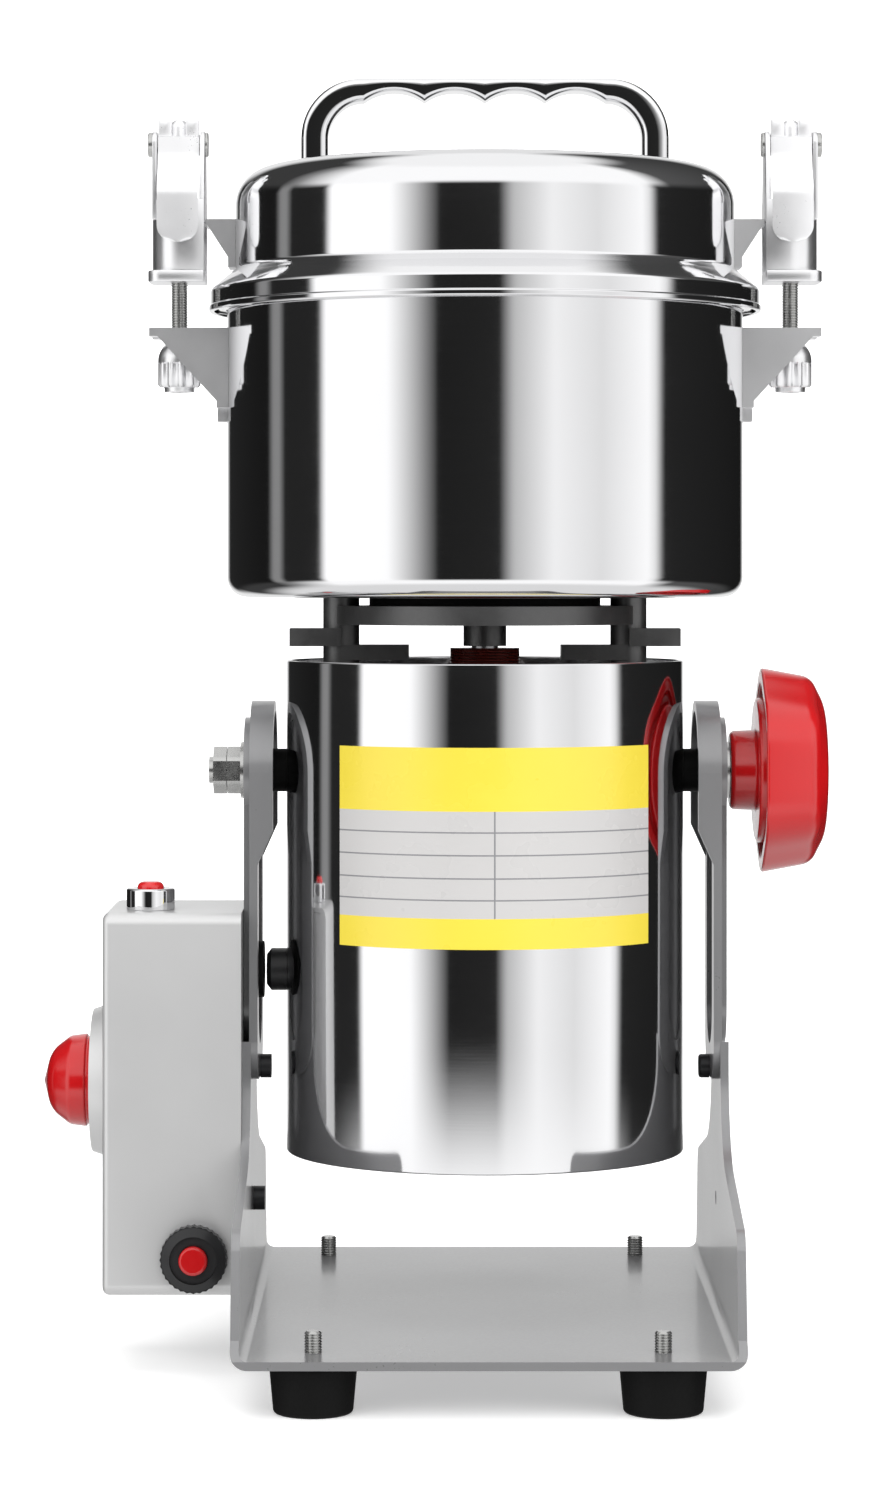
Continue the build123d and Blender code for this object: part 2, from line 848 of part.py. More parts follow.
def make_blade_nut():
    z0 = blade_nut_z + 0.02
    nut = Pos(0, 0, z0) * extrude(RegularPolygon(13 / sqrt(3), 6), amount=blade_nut_height - 2)
    dome = [(0, z0), (7.0, z0), (5.0, z0 + blade_nut_height), (0, z0 + blade_nut_height)]
    nut += turned(dome, [(2, 1.5)])
    return nut - rod_z(shaft_radius + running_fit, z0 - 1, shaft_top + 0.2)


# ---------------------------------------------------------------- lid
def lid_profile(inset):
    """The lid's outside, or its inside when inset is the sheet's thickness."""
    shoulder = skirt_top + lid_shoulder_rise
    return [
        (0, skirt_bottom - (1 if inset else 0)),
        (skirt_radius - inset, skirt_bottom - (1 if inset else 0)),
        (skirt_radius - inset, skirt_top - inset),
        (lid_wall_radius + 2.4 - inset, shoulder - inset),
        (lid_wall_radius - inset, shoulder + 2.0 - inset),
        (lid_wall_radius - inset, lid_top - inset),
        (0, lid_top - inset),
    ]


def make_lid_shell():
    rounds = [(5, lid_corner), (2, 1.8)]
    inner_rounds = [(5, lid_corner - lid_sheet), (2, 0.6)]
    shell = turned(lid_profile(0), rounds) - turned(lid_profile(lid_sheet), inner_rounds)
    bead = turned(
        [
            (skirt_radius - lid_sheet, skirt_bottom),
            (skirt_radius + 0.5, skirt_bottom),
            (skirt_radius + 0.5, skirt_bottom + 1.8),
            (skirt_radius - lid_sheet, skirt_bottom + 1.8),
        ],
        [(1, 0.7), (2, 0.7)],
    )
    shell += bead
    for side in (1, -1):
        x = side * handle_leg_x
        shell -= rod_z(handle_screw_diameter / 2 + running_fit, lid_top - 5, lid_top + 1, x)
    return shell


handle_leg_x = handle_outer_width / 2 - handle_leg / 2
plug_radius = bowl_radius - bowl_wall - 2.0
plug_bottom = bowl_top - 4.0


def make_lid_plate():
    """The closing plate under the hollow lid, which drops into the bowl's mouth."""
    top = skirt_top - lid_sheet - 0.05
    cup = rod_z(plug_radius, plug_bottom, top)
    return cup - rod_z(plug_radius - lid_sheet, plug_bottom + lid_sheet, top + 1)


def make_gasket():
    inner = plug_radius + 0.1
    ring = rod_z(inner + gasket_width, gasket_bottom, gasket_top)
    return ring - rod_z(inner, gasket_bottom - 1, gasket_top + 1)


def make_handle():
    """A cast handle: two legs and a bar whose underside has four finger hollows."""
    half = handle_outer_width / 2
    inner = half - handle_leg
    grip = handle_top - handle_bar
    outer = rounded_face(
        [(-half, 0, lid_top), (half, 0, lid_top), (half, 0, handle_top), (-half, 0, handle_top)],
        [(2, handle_corner), (3, handle_corner)],
    )
    inner_corner = handle_corner - handle_leg
    window = rounded_face(
        [(-inner, 0, lid_top - 1), (inner, 0, lid_top - 1), (inner, 0, grip), (-inner, 0, grip)],
        [(2, inner_corner), (3, inner_corner)],
    )
    handle = extrude(outer, amount=handle_depth / 2, dir=(0, 1, 0), both=True)
    handle -= extrude(window, amount=handle_depth, dir=(0, 1, 0), both=True)
    hollow_radius = ((finger_pitch / 2) ** 2 + finger_depth**2) / (2 * finger_depth)
    for step in (-1.5, -0.5, 0.5, 1.5):
        z = grip + finger_depth - hollow_radius
        handle -= rod_y(hollow_radius, -handle_depth, handle_depth, step * finger_pitch, z)
    long_edges = handle.edges().filter_by(Axis.Z).filter_by(lambda e: e.length > 5)
    handle = fillet(long_edges, 2.0)
    for side in (1, -1):
        x = side * handle_leg_x
        handle -= rod_z(handle_screw_diameter / 2 + running_fit, lid_top - 1, lid_top + 10, x)
    return Pos(0, 0, 0.02) * handle


def make_handle_screws():
    under = lid_top - lid_sheet
    screws = []
    for side in (1, -1):
        x = side * handle_leg_x
        screw = rod_z(handle_screw_diameter / 2, under - 1, lid_top + 9, x)
        screw += rod_z(screw_head_radius, under - 3.2, under - 0.05, x)
        screws.append(screw)
    return Compound(children=screws)


def make_lid_lugs():
    """Sheet hooks on the lid's wall, which the toggle latches pull down on."""
    top = latch_foot_height + latch_foot_thickness + latch_body_height - 6
    bottom = skirt_top + lid_shoulder_rise + 2.5
    reach = latch_inner_face - slip_gap
    strap = [
        (lid_wall_radius - 1, bottom),
        (lid_wall_radius + bracket_sheet, bottom),
        (lid_wall_radius + bracket_sheet, top - bracket_sheet),
        (reach, top - bracket_sheet),
        (reach, top),
        (lid_wall_radius - 1, top),
    ]
    lug = plate_xz(strap, -lug_width / 2, lug_width / 2, [(5, 1.0)])
    for y in (lug_width / 2 - 1.5, -lug_width / 2):
        web = [
            (lid_wall_radius - 1, bottom + 3),
            (lid_wall_radius + 2, bottom + 3),
            (reach, top - 1),
            (lid_wall_radius - 1, top - 1),
        ]
        lug += plate_xz(web, y, y + 1.5)
    wall = rod_z(lid_wall_radius + 0.02, bottom - 5, top + 5)
    lug -= wall
    rivet_z = (bottom + top) / 2
    lug += rod_x(2.2, lid_wall_radius + bracket_sheet - 0.5, lid_wall_radius + bracket_sheet + 1.2, rivet_z)
    return both_sides(lug)


# ---------------------------------------------------------------- toggle latches
def make_bowl_bracket():
    """The riveted bracket on the bowl: strap, slotted flange and two gussets."""
    strap_outer = bowl_radius + bracket_sheet + 0.7
    flange_bottom = flange_top - flange_thickness
    half = flange_half_width
    bracket = block(bowl_radius - 1, strap_outer, -half, half, bracket_strap_bottom + 4, flange_top)
    bracket += block(bowl_radius - 1, flange_reach, -half, half, flange_bottom, flange_top)
    gusset = [
        (bowl_radius - 1, flange_bottom + 0.5),
        (flange_reach - 2, flange_bottom + 0.5),
        (strap_outer, bracket_strap_bottom + 6),
        (bowl_radius - 1, bracket_strap_bottom + 6),
    ]
    for y in (half - bracket_sheet, -half):
        bracket += plate_xz(gusset, y, y + bracket_sheet)
    bracket += block(bowl_radius - 1, strap_outer, -5, 5, bracket_strap_bottom, bracket_strap_bottom + 5)
    slot = flange_slot / 2
    bracket -= block(latch_offset, flange_reach + 1, -slot, slot, flange_bottom - 1, flange_top + 1)
    bracket -= rod_z(slot, flange_bottom - 1, flange_top + 1, latch_offset)
    bracket -= rod_z(bowl_radius + 0.02, bracket_strap_bottom - 5, flange_top + 5)
    return bracket


def make_latch_nut():
    """The round adjusting nut: a domed top that rocks in the flange, and a knurled grip."""
    bottom = latch_pivot - nut_drop
    nut = Pos(latch_offset, 0, latch_pivot) * Sphere(nut_radius)
    nut -= block(
        latch_offset - 9, latch_offset + 9, -9, 9, latch_pivot - nut_radius - 1, latch_pivot
    )
    grip = knurled(nut_radius, 0.6, nut_knurls, nut_drop - 1.5)
    nut += Pos(latch_offset, 0, bottom + 1.5) * grip
    nut += rod_z(nut_radius - 2.0, bottom, bottom + 2, latch_offset)
    bore = rod_z(rod_diameter / 2 + running_fit, bottom - 1, latch_pivot + nut_radius + 1, latch_offset)
    return nut - bore


def make_latch_rod():
    top = latch_foot_height + latch_foot_thickness + 6
    bottom = latch_pivot - nut_drop + 0.5
    rod = rod_z(rod_diameter / 2, bottom, top, latch_offset)
    foot_top = latch_foot_height + latch_foot_thickness
    hexagon = extrude(RegularPolygon(8 / sqrt(3), 6), amount=4.0)
    rod += Pos(latch_offset, 0, foot_top + 0.05) * hexagon
    return rod


def make_latch_body():
    """The folded housing: foot, two cheeks that carry the lever pin, and a back wall."""
    foot_top = latch_foot_height + latch_foot_thickness
    body_top = foot_top + latch_body_height
    depth = latch_half_depth
    x0, x1 = latch_inner_face, latch_outer_face
    body = block(x0, x1 + 1, -depth - 1, depth + 1, latch_foot_height, foot_top)
    for x in (x0, x1 - latch_sheet):
        cheek = [
            (-depth, foot_top - 1),
            (depth, foot_top - 1),
            (depth, body_top),
            (5.5, lever_pin_height + 4),
            (-5.5, lever_pin_height + 4),
            (-depth, body_top),
        ]
        body += plate_yz(cheek, x, x + latch_sheet, [(3, 3.0), (4, 3.0)])
    body += block(x0, x1, depth - latch_sheet, depth, foot_top - 1, body_top)
    body += block(x0, x1, -depth, -depth + latch_sheet, foot_top - 1, body_top)
    corner = [
        (x1 - 4.2, body_top + 1),
        (x1 + 1, body_top + 1),
        (x1 + 1, body_top - 4.2),
    ]
    for y in (-depth - 1, depth - latch_sheet - 1):
        cut = plate_xz(corner, y, y + latch_sheet + 2)
        keep = rod_y(4.2, y - 1, y + latch_sheet + 3, x1 - 4.2, body_top - 4.2)
        body -= cut - keep
    body -= rod_z(rod_diameter / 2 + running_fit, latch_foot_height - 1, foot_top + 1, latch_offset)
    pin_hole = rod_x(lever_pin_diameter / 2 + running_fit, x0 - 1, x1 + 1, lever_pin_height)
    return body - pin_hole


def make_lever_pin():
    """The pin between the cheeks, with a flat head outside each."""
    x0, x1 = latch_inner_face + 0.2, latch_outer_face
    pin = rod_x(lever_pin_diameter / 2, x0, x1 + 0.9, lever_pin_height)
    return pin + rod_x(lever_pin_diameter / 2 + 1.2, x1 + 0.05, x1 + 1.2, lever_pin_height)


def make_lever():
    """The pressed lever: two ears on the pin and a round-ended tongue hanging in front."""
    x0 = latch_inner_face + latch_sheet + slip_gap
    x1 = latch_outer_face - latch_sheet - slip_gap
    front = -latch_half_depth - 1.5 - slip_gap
    back = front - lever_sheet
    top = lever_pin_height + lever_top
    half = (x1 - x0) / 2
    tongue = [(x0, lever_end_height), (x1, lever_end_height), (x1, top), (x0, top)]
    lever = plate_xz(tongue, back, front, [(0, half - 0.05), (1, half - 0.05)])
    for x in (x0, x1 - lever_sheet):
        ear = [
            (front - 0.5, top),
            (front - 0.5, lever_pin_height - 7),
            (4.0, lever_pin_height - 4.5),
            (4.0, lever_pin_height + 4.5),
            (0, top),
        ]
        lever += plate_yz(ear, x, x + lever_sheet, [(2, 3.0), (3, 3.0)])
    lever += block(x0, x1, front - 1, front + 7, top - lever_sheet, top)
    return lever - rod_x(lever_pin_diameter / 2 + running_fit, x0 - 1, x1 + 1, lever_pin_height)


# ---------------------------------------------------------------- control box
lamp_x = box_inner - lamp_from_wall
reset_x = box_inner - reset_from_wall
timer_body_radius = 20.0
timer_body_length = 18.0
breaker_radius = 7.0


def make_box_shell():
    """A deep pressed box, open towards the arm."""
    plan = block(box_outer, box_inner - 0.05, box_front, box_back, box_bottom, box_top)
    side_edges = plan.edges().filter_by(Axis.X)
    plan = fillet(side_edges, box_corner)
    face_edges = plan.faces().sort_by(Axis.X)[0].edges()
    plan = fillet(face_edges, box_corner * 0.6)
    hollow = block(
        box_outer + box_wall,
        box_inner + 1,
        box_front + box_wall,
        box_back - box_wall,
        box_bottom + box_wall,
        box_top - box_wall,
    )
    shell = plan - hollow
    shell -= rod_x(timer_shaft_radius + 1, box_outer - 1, box_outer + box_wall + 1, dial_height, box_middle)
    shell -= rod_z(lens_diameter / 2 + running_fit, box_top - box_wall - 1, box_top + 1, lamp_x, lamp_y)
    shell -= rod_y(breaker_radius + running_fit, box_front - 1, box_front + box_wall + 1, reset_x, reset_height)
    shell -= rod_y(
        gland_diameter / 2 - 2 + running_fit, box_back - box_wall - 1, box_back + 1, gland_x, cord_height
    )
    return shell


box_middle = (box_front + box_back) / 2
gland_x = box_inner - 20.0
back_plate_sheet = 1.5


def make_box_plate():
    """The steel plate that closes the box and is screwed to the arm."""
    inset = box_wall + 0.1
    x1 = box_inner - 0.05
    plate = block(
        x1 - back_plate_sheet,
        x1,
        box_front + inset,
        box_back - inset,
        box_bottom + inset,
        box_top - inset,
    )
    plate -= rod_x(grommet_neck_radius + running_fit, box_inner - 5, box_inner + 1, lead_height)
    for height in arm_screw_heights:
        plate -= rod_x(arm_screw_diameter / 2 + running_fit, box_inner - 5, box_inner + 1, height)
    return plate


def make_arm_screws():
    """Black screws through the left arm into the box plate, each with its nut inside."""
    screws = []
    for height in arm_screw_heights:
        inner_face = -(arm_inner - (margin_step if height > margin_end_height else 0))
        if height > keyhole_end_height:
            inner_face = -arm_inner
        screw = rod_x(arm_screw_diameter / 2, box_inner - 5.5, inner_face + 1, height)
        screw += rod_x(arm_screw_diameter * 0.9, inner_face + 0.05, inner_face + 3.4, height)
        screw += hexagon_x(7.0, box_inner - 5.0, box_inner - back_plate_sheet - 0.1, height)
        screws.append(screw)
    return Compound(children=screws)


def make_dial_plate():
    x0 = box_outer - dial_thickness
    plate = turned_x(
        [
            (x0, 0),
            (x0, dial_diameter / 2 - 1.5),
            (box_outer - 0.05, dial_diameter / 2),
            (box_outer - 0.05, 0),
        ],
        dial_height,
        box_middle,
    )
    return plate - rod_x(timer_shaft_radius + 0.8, x0 - 1, box_outer + 1, dial_height, box_middle)


def make_timer_body():
    """The clockwork timer inside the box, with its shaft through the dial."""
    x0 = box_outer + box_wall + 0.05
    timer = rod_x(timer_body_radius, x0, x0 + timer_body_length, dial_height, box_middle)
    shaft_end = box_outer - dial_thickness - timer_knob_length * 0.55
    timer += rod_x(timer_shaft_radius, shaft_end, x0 + 1, dial_height, box_middle)
    return timer


def make_timer_knob():
    """A red domed knob with a raised pointer bar."""
    x1 = box_outer - dial_thickness - 0.15
    x0 = x1 - timer_knob_length
    radius = timer_knob_diameter / 2
    knob = turned_x(
        [
            (x0, 0),
            (x0, radius * 0.42),
            (x0 + timer_knob_length * 0.3, radius * 0.86),
            (x1 - timer_knob_skirt, radius - 1.2),
            (x1 - timer_knob_skirt, radius),
            (x1, radius),
            (x1, 0),
        ],
        dial_height,
        box_middle,
        [(2, 5.0), (1, 2.5)],
    )
    bore_end = box_outer - dial_thickness - timer_knob_length * 0.55
    knob -= rod_x(timer_shaft_radius + running_fit, bore_end - 0.3, x1 + 1, dial_height, box_middle)
    return knob


def make_lamp_bezel():
    """The chrome ring of the pilot lamp, with its neck through the box top."""
    bezel = turned(
        [
            (lens_diameter / 2 + running_fit, box_top + 0.05),
            (lamp_diameter / 2, box_top + 0.05),
            (lamp_diameter / 2, box_top + lamp_height),
            (lens_diameter / 2 + running_fit, box_top + lamp_height),
        ],
        [(2, 0.8)],
    )
    return Pos(lamp_x, lamp_y, 0) * bezel


def make_lamp_lens():
    radius = lens_diameter / 2
    top = box_top + lamp_height
    lens = turned(
        [
            (0, box_top - box_wall - 12),
            (radius, box_top - box_wall - 12),
            (radius, top + lens_height),
            (0, top + lens_height),
        ],
        [(2, 1.8)],
    )
    return Pos(lamp_x, lamp_y, 0) * lens


def make_reset_nut():
    """The knurled black ring that clamps the breaker in the box front."""
    ring = knurled(reset_diameter / 2, 0.35, 32, reset_ring_height * 0.7)
    ring += Pos(0, 0, reset_ring_height * 0.7) * Cone(
        reset_diameter / 2 - 0.5, reset_diameter / 2 - 3, reset_ring_height * 0.3, align=(Align.CENTER, Align.CENTER, Align.MIN)
    )
    ring -= Pos(0, 0, reset_ring_height / 2) * Cylinder(breaker_radius + running_fit, reset_ring_height + 2)
    return Pos(reset_x, box_front - 0.05, reset_height) * Rot(90, 0, 0) * ring


def make_breaker_body():
    """The overload breaker behind the button; its neck comes through the box wall."""
    y_end = box_front - reset_ring_height + 1.0
    body = rod_y(breaker_radius, y_end, box_front + box_wall + 0.1, reset_x, reset_height)
    inside = box_front + box_wall + 0.05
    body += block(reset_x - 8, reset_x + 8, inside, inside + 26, reset_height - 9.5, reset_height + 9.5)
    body -= rod_y(reset_bore, y_end - 1, reset_floor, reset_x, reset_height)
    return body


reset_bore = reset_button_diameter / 2 + 0.1
reset_floor = box_front + 4.0


def make_reset_button():
    front = box_front - reset_ring_height - 1.5
    back = reset_floor - reset_travel - 0.3
    button = rod_y(reset_button_diameter / 2, front, back, reset_x, reset_height)
    return fillet(button.edges().sort_by(Axis.Y)[0], 1.0)


def make_arm_grommet():
    """The rubber bush where the motor lead passes the arm."""
    flange = rod_x(8.5, -arm_inner + 0.05, -arm_inner + 3.2, lead_height)
    neck = rod_x(grommet_neck_radius, box_inner - 4, -arm_inner + 1, lead_height)
    return flange + neck - rod_x(2.8, box_inner - 5, -arm_inner + 5, lead_height)


def make_can_gland():
    """The ribbed gland on the can that the motor lead enters."""
    body = turned_x(
        [
            (-can_radius - 6.0, 0),
            (-can_radius - 6.0, 4.6),
            (-can_radius - 4.6, 6.4),
            (-can_radius + 2, 6.4),
            (-can_radius + 2, 0),
        ],
        lead_height,
    )
    body = seated_on_can(body)
    body += rod_x(gland_neck_radius, -can_radius - 2, -can_radius + can_wall + 3, lead_height)
    return body - rod_x(2.8, -can_radius - 10, 0, lead_height)


def make_mains_gland():
    """The strain relief at the back of the box for the mains cord."""
    radius = gland_diameter / 2
    end = box_back + gland_length
    gland = rod_y(radius, box_back + 0.05, box_back + 3.5, gland_x, cord_height)
    gland += Pos(gland_x, box_back + 3.4, cord_height) * Rot(-90, 0, 0) * Cone(
        radius - 1.5, radius - 2.8, gland_length - 3.4, align=(Align.CENTER, Align.CENTER, Align.MIN)
    )
    gland += rod_y(radius - 2, box_back - box_wall - 3, box_back + 1, gland_x, cord_height)
    return gland - rod_y(cord_hole_diameter / 2, box_back - 20, end + 1, gland_x, cord_height)


# ---------------------------------------------------------------- write the pieces
def build():
    os.makedirs("parts", exist_ok=True)
    save(make_stand_frame(), "stand_frame")
    save(make_feet(), "rubber_feet")
    save(make_studs(), "foot_studs")
    save(make_box_shell(), "control_box_shell")
    save(make_box_plate(), "control_box_plate")
    save(make_arm_screws(), "arm_screws")
    save(make_dial_plate(), "timer_dial_plate")
    save(make_timer_body(), "timer_body")
    save(make_timer_knob(), "timer_knob")
    save(make_lamp_bezel(), "lamp_bezel")
    save(make_lamp_lens(), "lamp_lens")
    save(make_reset_nut(), "reset_nut")
    save(make_breaker_body(), "breaker_body")
    save(make_reset_button(), "reset_button")
    save(make_arm_grommet(), "arm_grommet")
    save(make_mains_gland(), "mains_gland")
    save(make_clamp_knob(), "clamp_knob")

    save(make_can(), "motor_can")
    save(make_bottom_cover(), "can_bottom_cover")
    save(make_can_screws(), "can_screws")
    save(make_can_gland(), "can_gland")
    save(make_upper_bracket(), "upper_bracket")
    save(make_lower_bracket(), "lower_bracket")
    save(Compound(children=[make_upper_bearing(), make_lower_bearing()]), "shaft_bearings")
    save(make_stator(), "stator_pack")
    save(make_field_coils(), "field_coils")
    save(make_brush_holders(), "brush_holders")
    left_bolt = mirror(pivot_bolt(left_bolt_end), Plane.YZ)
    right_bolt = pivot_bolt(knob_start + knob_bore_depth - 0.5)
    save(Compound(children=[left_bolt, right_bolt]), "pivot_bolts")
    nuts = [mirror(pivot_nut(start), Plane.YZ) for start in (first_nut_x, second_nut_x)]
    save(Compound(children=nuts + [make_washer(), mirror(make_washer(), Plane.YZ)]), "pivot_nuts")
    save(both_sides(make_spacer()), "pivot_spacers")

    save(make_bowl(), "bowl")
    save(make_bowl_seal(), "bowl_seal")
    save(make_shaft_collar(), "shaft_collar")
    save(make_bowl_screws(), "bowl_screws")
    save(both_sides(make_bowl_bracket()), "bowl_brackets")

    save(make_shaft(), "motor_shaft")
    save(make_core(), "armature_core")
    save(make_winding(), "armature_winding")
    save(make_commutator(), "commutator")
    save(make_fan(), "cooling_fan")
    save(make_blade(lower_blade_radius, lower_blade_z, False), "lower_blade")
    save(make_blade(upper_blade_radius, upper_blade_z, True), "upper_blade")
    save(make_blade_spacer(), "blade_spacer")
    save(make_blade_nut(), "blade_nut")

    save(make_lid_shell(), "lid_shell")
    save(make_lid_plate(), "lid_inner_plate")
    save(make_gasket(), "lid_gasket")
    save(make_handle(), "lid_handle")
    save(make_handle_screws(), "handle_screws")
    save(make_lid_lugs(), "lid_lugs")

    for side, place in (("right", lambda shape: shape), ("left", lambda shape: mirror(shape, Plane.YZ))):
        save(place(make_latch_rod()), f"{side}_latch_rod")
        save(place(make_latch_body()), f"{side}_latch_body")
        save(place(make_latch_nut()), f"{side}_latch_nut")
        save(place(make_lever()), f"{side}_latch_lever")
        save(place(make_lever_pin()), f"{side}_lever_pin")


build()
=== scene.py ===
import json
from math import acos, atan2, cos, hypot, pi, radians, sin, sqrt, tan
import bmesh
import bpy
from mathutils import Matrix, Vector


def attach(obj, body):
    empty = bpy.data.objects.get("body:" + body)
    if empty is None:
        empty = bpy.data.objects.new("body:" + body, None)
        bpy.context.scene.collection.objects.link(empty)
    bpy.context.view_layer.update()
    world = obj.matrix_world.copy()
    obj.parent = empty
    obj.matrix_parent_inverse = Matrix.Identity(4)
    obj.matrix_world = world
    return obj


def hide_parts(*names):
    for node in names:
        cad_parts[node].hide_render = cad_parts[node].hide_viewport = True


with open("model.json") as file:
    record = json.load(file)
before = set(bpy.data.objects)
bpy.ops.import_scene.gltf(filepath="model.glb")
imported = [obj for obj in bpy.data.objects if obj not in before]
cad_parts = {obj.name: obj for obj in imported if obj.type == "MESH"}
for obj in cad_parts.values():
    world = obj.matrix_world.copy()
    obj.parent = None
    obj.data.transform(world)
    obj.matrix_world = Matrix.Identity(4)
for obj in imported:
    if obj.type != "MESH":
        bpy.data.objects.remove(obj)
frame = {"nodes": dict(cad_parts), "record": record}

scene = bpy.context.scene
nodes = frame["nodes"]
mm = 0.001


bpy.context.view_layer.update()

# camera as the photograph was taken: level, a little over a metre away
view = {"place": (-0.0145, -1.3, 0.2367), "lens": 102.96, "sensor": 36.0, "shiftY": -0.1167}
cameraData = bpy.data.cameras.new("photoCamera")
cameraData.lens = view["lens"]
cameraData.sensor_width = view["sensor"]
cameraData.shift_y = view["shiftY"]
cameraData.clip_start = 0.05
camera = bpy.data.objects.new("photoCamera", cameraData)
camera.location = view["place"]
camera.rotation_euler = (pi / 2, 0, 0)
scene.collection.objects.link(camera)
scene.camera = camera
scene.view_settings.view_transform = "Standard"
scene.view_settings.look = "None"
print("camera: set")


# short ways to add and join shader nodes
class Graph:
    def __init__(self, tree):
        self.tree = tree
        tree.nodes.clear()

    def add(self, kind, **values):
        node = self.tree.nodes.new("ShaderNode" + kind)
        for key, value in values.items():
            setattr(node, key, value)
        return node

    def join(self, source, target):
        self.tree.links.new(source, target)

    def feed(self, target, value):
        if hasattr(value, "is_output"):
            self.join(value, target)
        else:
            target.default_value = value

    def sum(self, operation, first, second=None, third=None, clamp=False):
        node = self.add("Math", operation=operation, use_clamp=clamp)
        for place, value in enumerate((first, second, third)):
            if value is not None:
                self.feed(node.inputs[place], value)
        return node.outputs[0]

    def remap(self, value, low, high, toLow, toHigh, smooth=False):
        node = self.add("MapRange", interpolation_type="SMOOTHSTEP" if smooth else "LINEAR")
        for place, entry in enumerate((value, low, high, toLow, toHigh)):
            self.feed(node.inputs[place], entry)
        return node.outputs[0]

    def noise(self, vector, scale, detail=3.0, rough=0.55):
        node = self.add("TexNoise")
        self.join(vector, node.inputs["Vector"])
        node.inputs["Scale"].default_value = scale
        node.inputs["Detail"].default_value = detail
        node.inputs["Roughness"].default_value = rough
        return node.outputs["Fac"]

    def stretch(self, vector, scale):
        node = self.add("Mapping")
        self.join(vector, node.inputs["Vector"])
        node.inputs["Scale"].default_value = scale
        return node.outputs[0]

    def blend(self, amount, first, second, mode="MIX"):
        node = self.add("Mix", data_type="RGBA", blend_type=mode)
        self.feed(node.inputs["Factor"], amount)
        self.feed(node.inputs["A"], first)
        self.feed(node.inputs["B"], second)
        return node.outputs["Result"]

    def ramp(self, value, stops, mode="LINEAR"):
        node = self.add("ValToRGB")
        node.color_ramp.interpolation = mode
        while len(node.color_ramp.elements) < len(stops):
            node.color_ramp.elements.new(0.5)
        for element, (place, tone) in zip(node.color_ramp.elements, stops):
            element.position = place
            element.color = tone if isinstance(tone, tuple) else (tone, tone, tone, 1)
        self.join(value, node.inputs[0])
        return node.outputs[0]


# studio: the sky holds the bright and black cards that polished steel shows, as (degrees round, tone)
studio = {
    "bands": [
        (-180, 0.9), (-168, 0.9), (-160, 0.02), (-112, 0.01), (-108, 0.28), (-104, 0.28),
        (-100, 0.02), (-79, 0.02), (-75, 1.3), (-44, 1.25), (-26, 0.25), (-21, 0.015),
        (6, 0.02), (12, 0.6), (30, 1.08), (52, 0.9), (76, 1.2), (80, 0.95), (85, 0.02), (160, 0.01),
        (168, 0.9), (180, 0.9),
    ],
    "raised": [
        (-180, 0.9), (-165, 0.9), (-155, 0.05), (-112, 0.05), (-100, 0.3), (-75, 1.2), (0, 1.2),
        (80, 1.2), (95, 0.1), (160, 0.05), (170, 0.9), (180, 0.9),
    ],
    "raisedFrom": (0.20, 0.36),
    "ceiling": 1.1,
    "ceilingFrom": (0.80, 0.93),
    "ground": 0.85,
    "groundFrom": (-0.45, -0.7),
}


def skyRamp(graph, place, cards):
    return graph.ramp(place, [((angle + 180) / 360, tone) for angle, tone in cards])


def buildSky():
    world = bpy.data.worlds.new("studioSky")
    scene.world = world
    world.use_nodes = True
    graph = Graph(world.node_tree)
    coord = graph.add("TexCoord").outputs["Generated"]
    parts = graph.add("SeparateXYZ")
    graph.join(coord, parts.inputs[0])
    turned = graph.sum("MULTIPLY", parts.outputs["Y"], -1.0)
    azimuth = graph.sum("ARCTAN2", parts.outputs["X"], turned)
    place = graph.remap(azimuth, -pi, pi, 0.0, 1.0)
    bands = skyRamp(graph, place, studio["bands"])
    higher = skyRamp(graph, place, studio["raised"])
    height = parts.outputs["Z"]
    raised = graph.remap(graph.sum("ABSOLUTE", height), *studio["raisedFrom"], 0.0, 1.0, True)
    bands = graph.blend(raised, bands, higher)
    overhead = graph.remap(height, *studio["ceilingFrom"], 0.0, 1.0, True)
    below = graph.remap(height, *studio["groundFrom"], 0.0, 1.0, True)
    tone = graph.blend(overhead, bands, (studio["ceiling"],) * 3 + (1,))
    tone = graph.blend(below, tone, (studio["ground"],) * 3 + (1,))
    background = graph.add("Background")
    graph.join(tone, background.inputs["Color"])
    background.inputs["Strength"].default_value = 1.0
    output = graph.add("OutputWorld")
    graph.join(background.outputs[0], output.inputs[0])


buildSky()

softboxes = [
    # name, place, aimed at, size, watts
    ("softboxLeft", (-1.6, -1.5, 1.3), (0, 0, 0.2), (1.2, 1.6), 15),
    ("softboxRight", (1.7, -1.2, 1.0), (0, 0, 0.2), (1.0, 1.4), 15),
    ("softboxFront", (0.1, -2.2, 1.35), (0, 0, 0.25), (1.6, 0.9), 11),
    ("softboxTop", (0.0, 0.1, 2.0), (0, 0, 0.2), (1.8, 1.8), 17),
]
for name, place, target, size, watts in softboxes:
    light = bpy.data.lights.new(name, "AREA")
    light.shape = "RECTANGLE"
    light.size, light.size_y = size
    light.energy = watts
    holder = bpy.data.objects.new(name, light)
    holder.location = place
    aim = Vector(target) - Vector(place)
    holder.rotation_euler = aim.to_track_quat("-Z", "Y").to_euler()
    holder.visible_camera = False
    holder.visible_glossy = False
    scene.collection.objects.link(holder)
print("studio: sky and softboxes set")


# finishes: every slot has its own grain and sheen
def finishBase(name, **fixed):
    material = bpy.data.materials.new(name)
    material.use_nodes = True
    graph = Graph(material.node_tree)
    shader = graph.add("BsdfPrincipled")
    output = graph.add("OutputMaterial")
    graph.join(shader.outputs[0], output.inputs[0])
    for key, value in fixed.items():
        shader.inputs[key].default_value = value
    return material, graph, shader


def tint(colour, factor):
    return tuple(min(1.0, channel * factor) for channel in colour[:3]) + (1,)


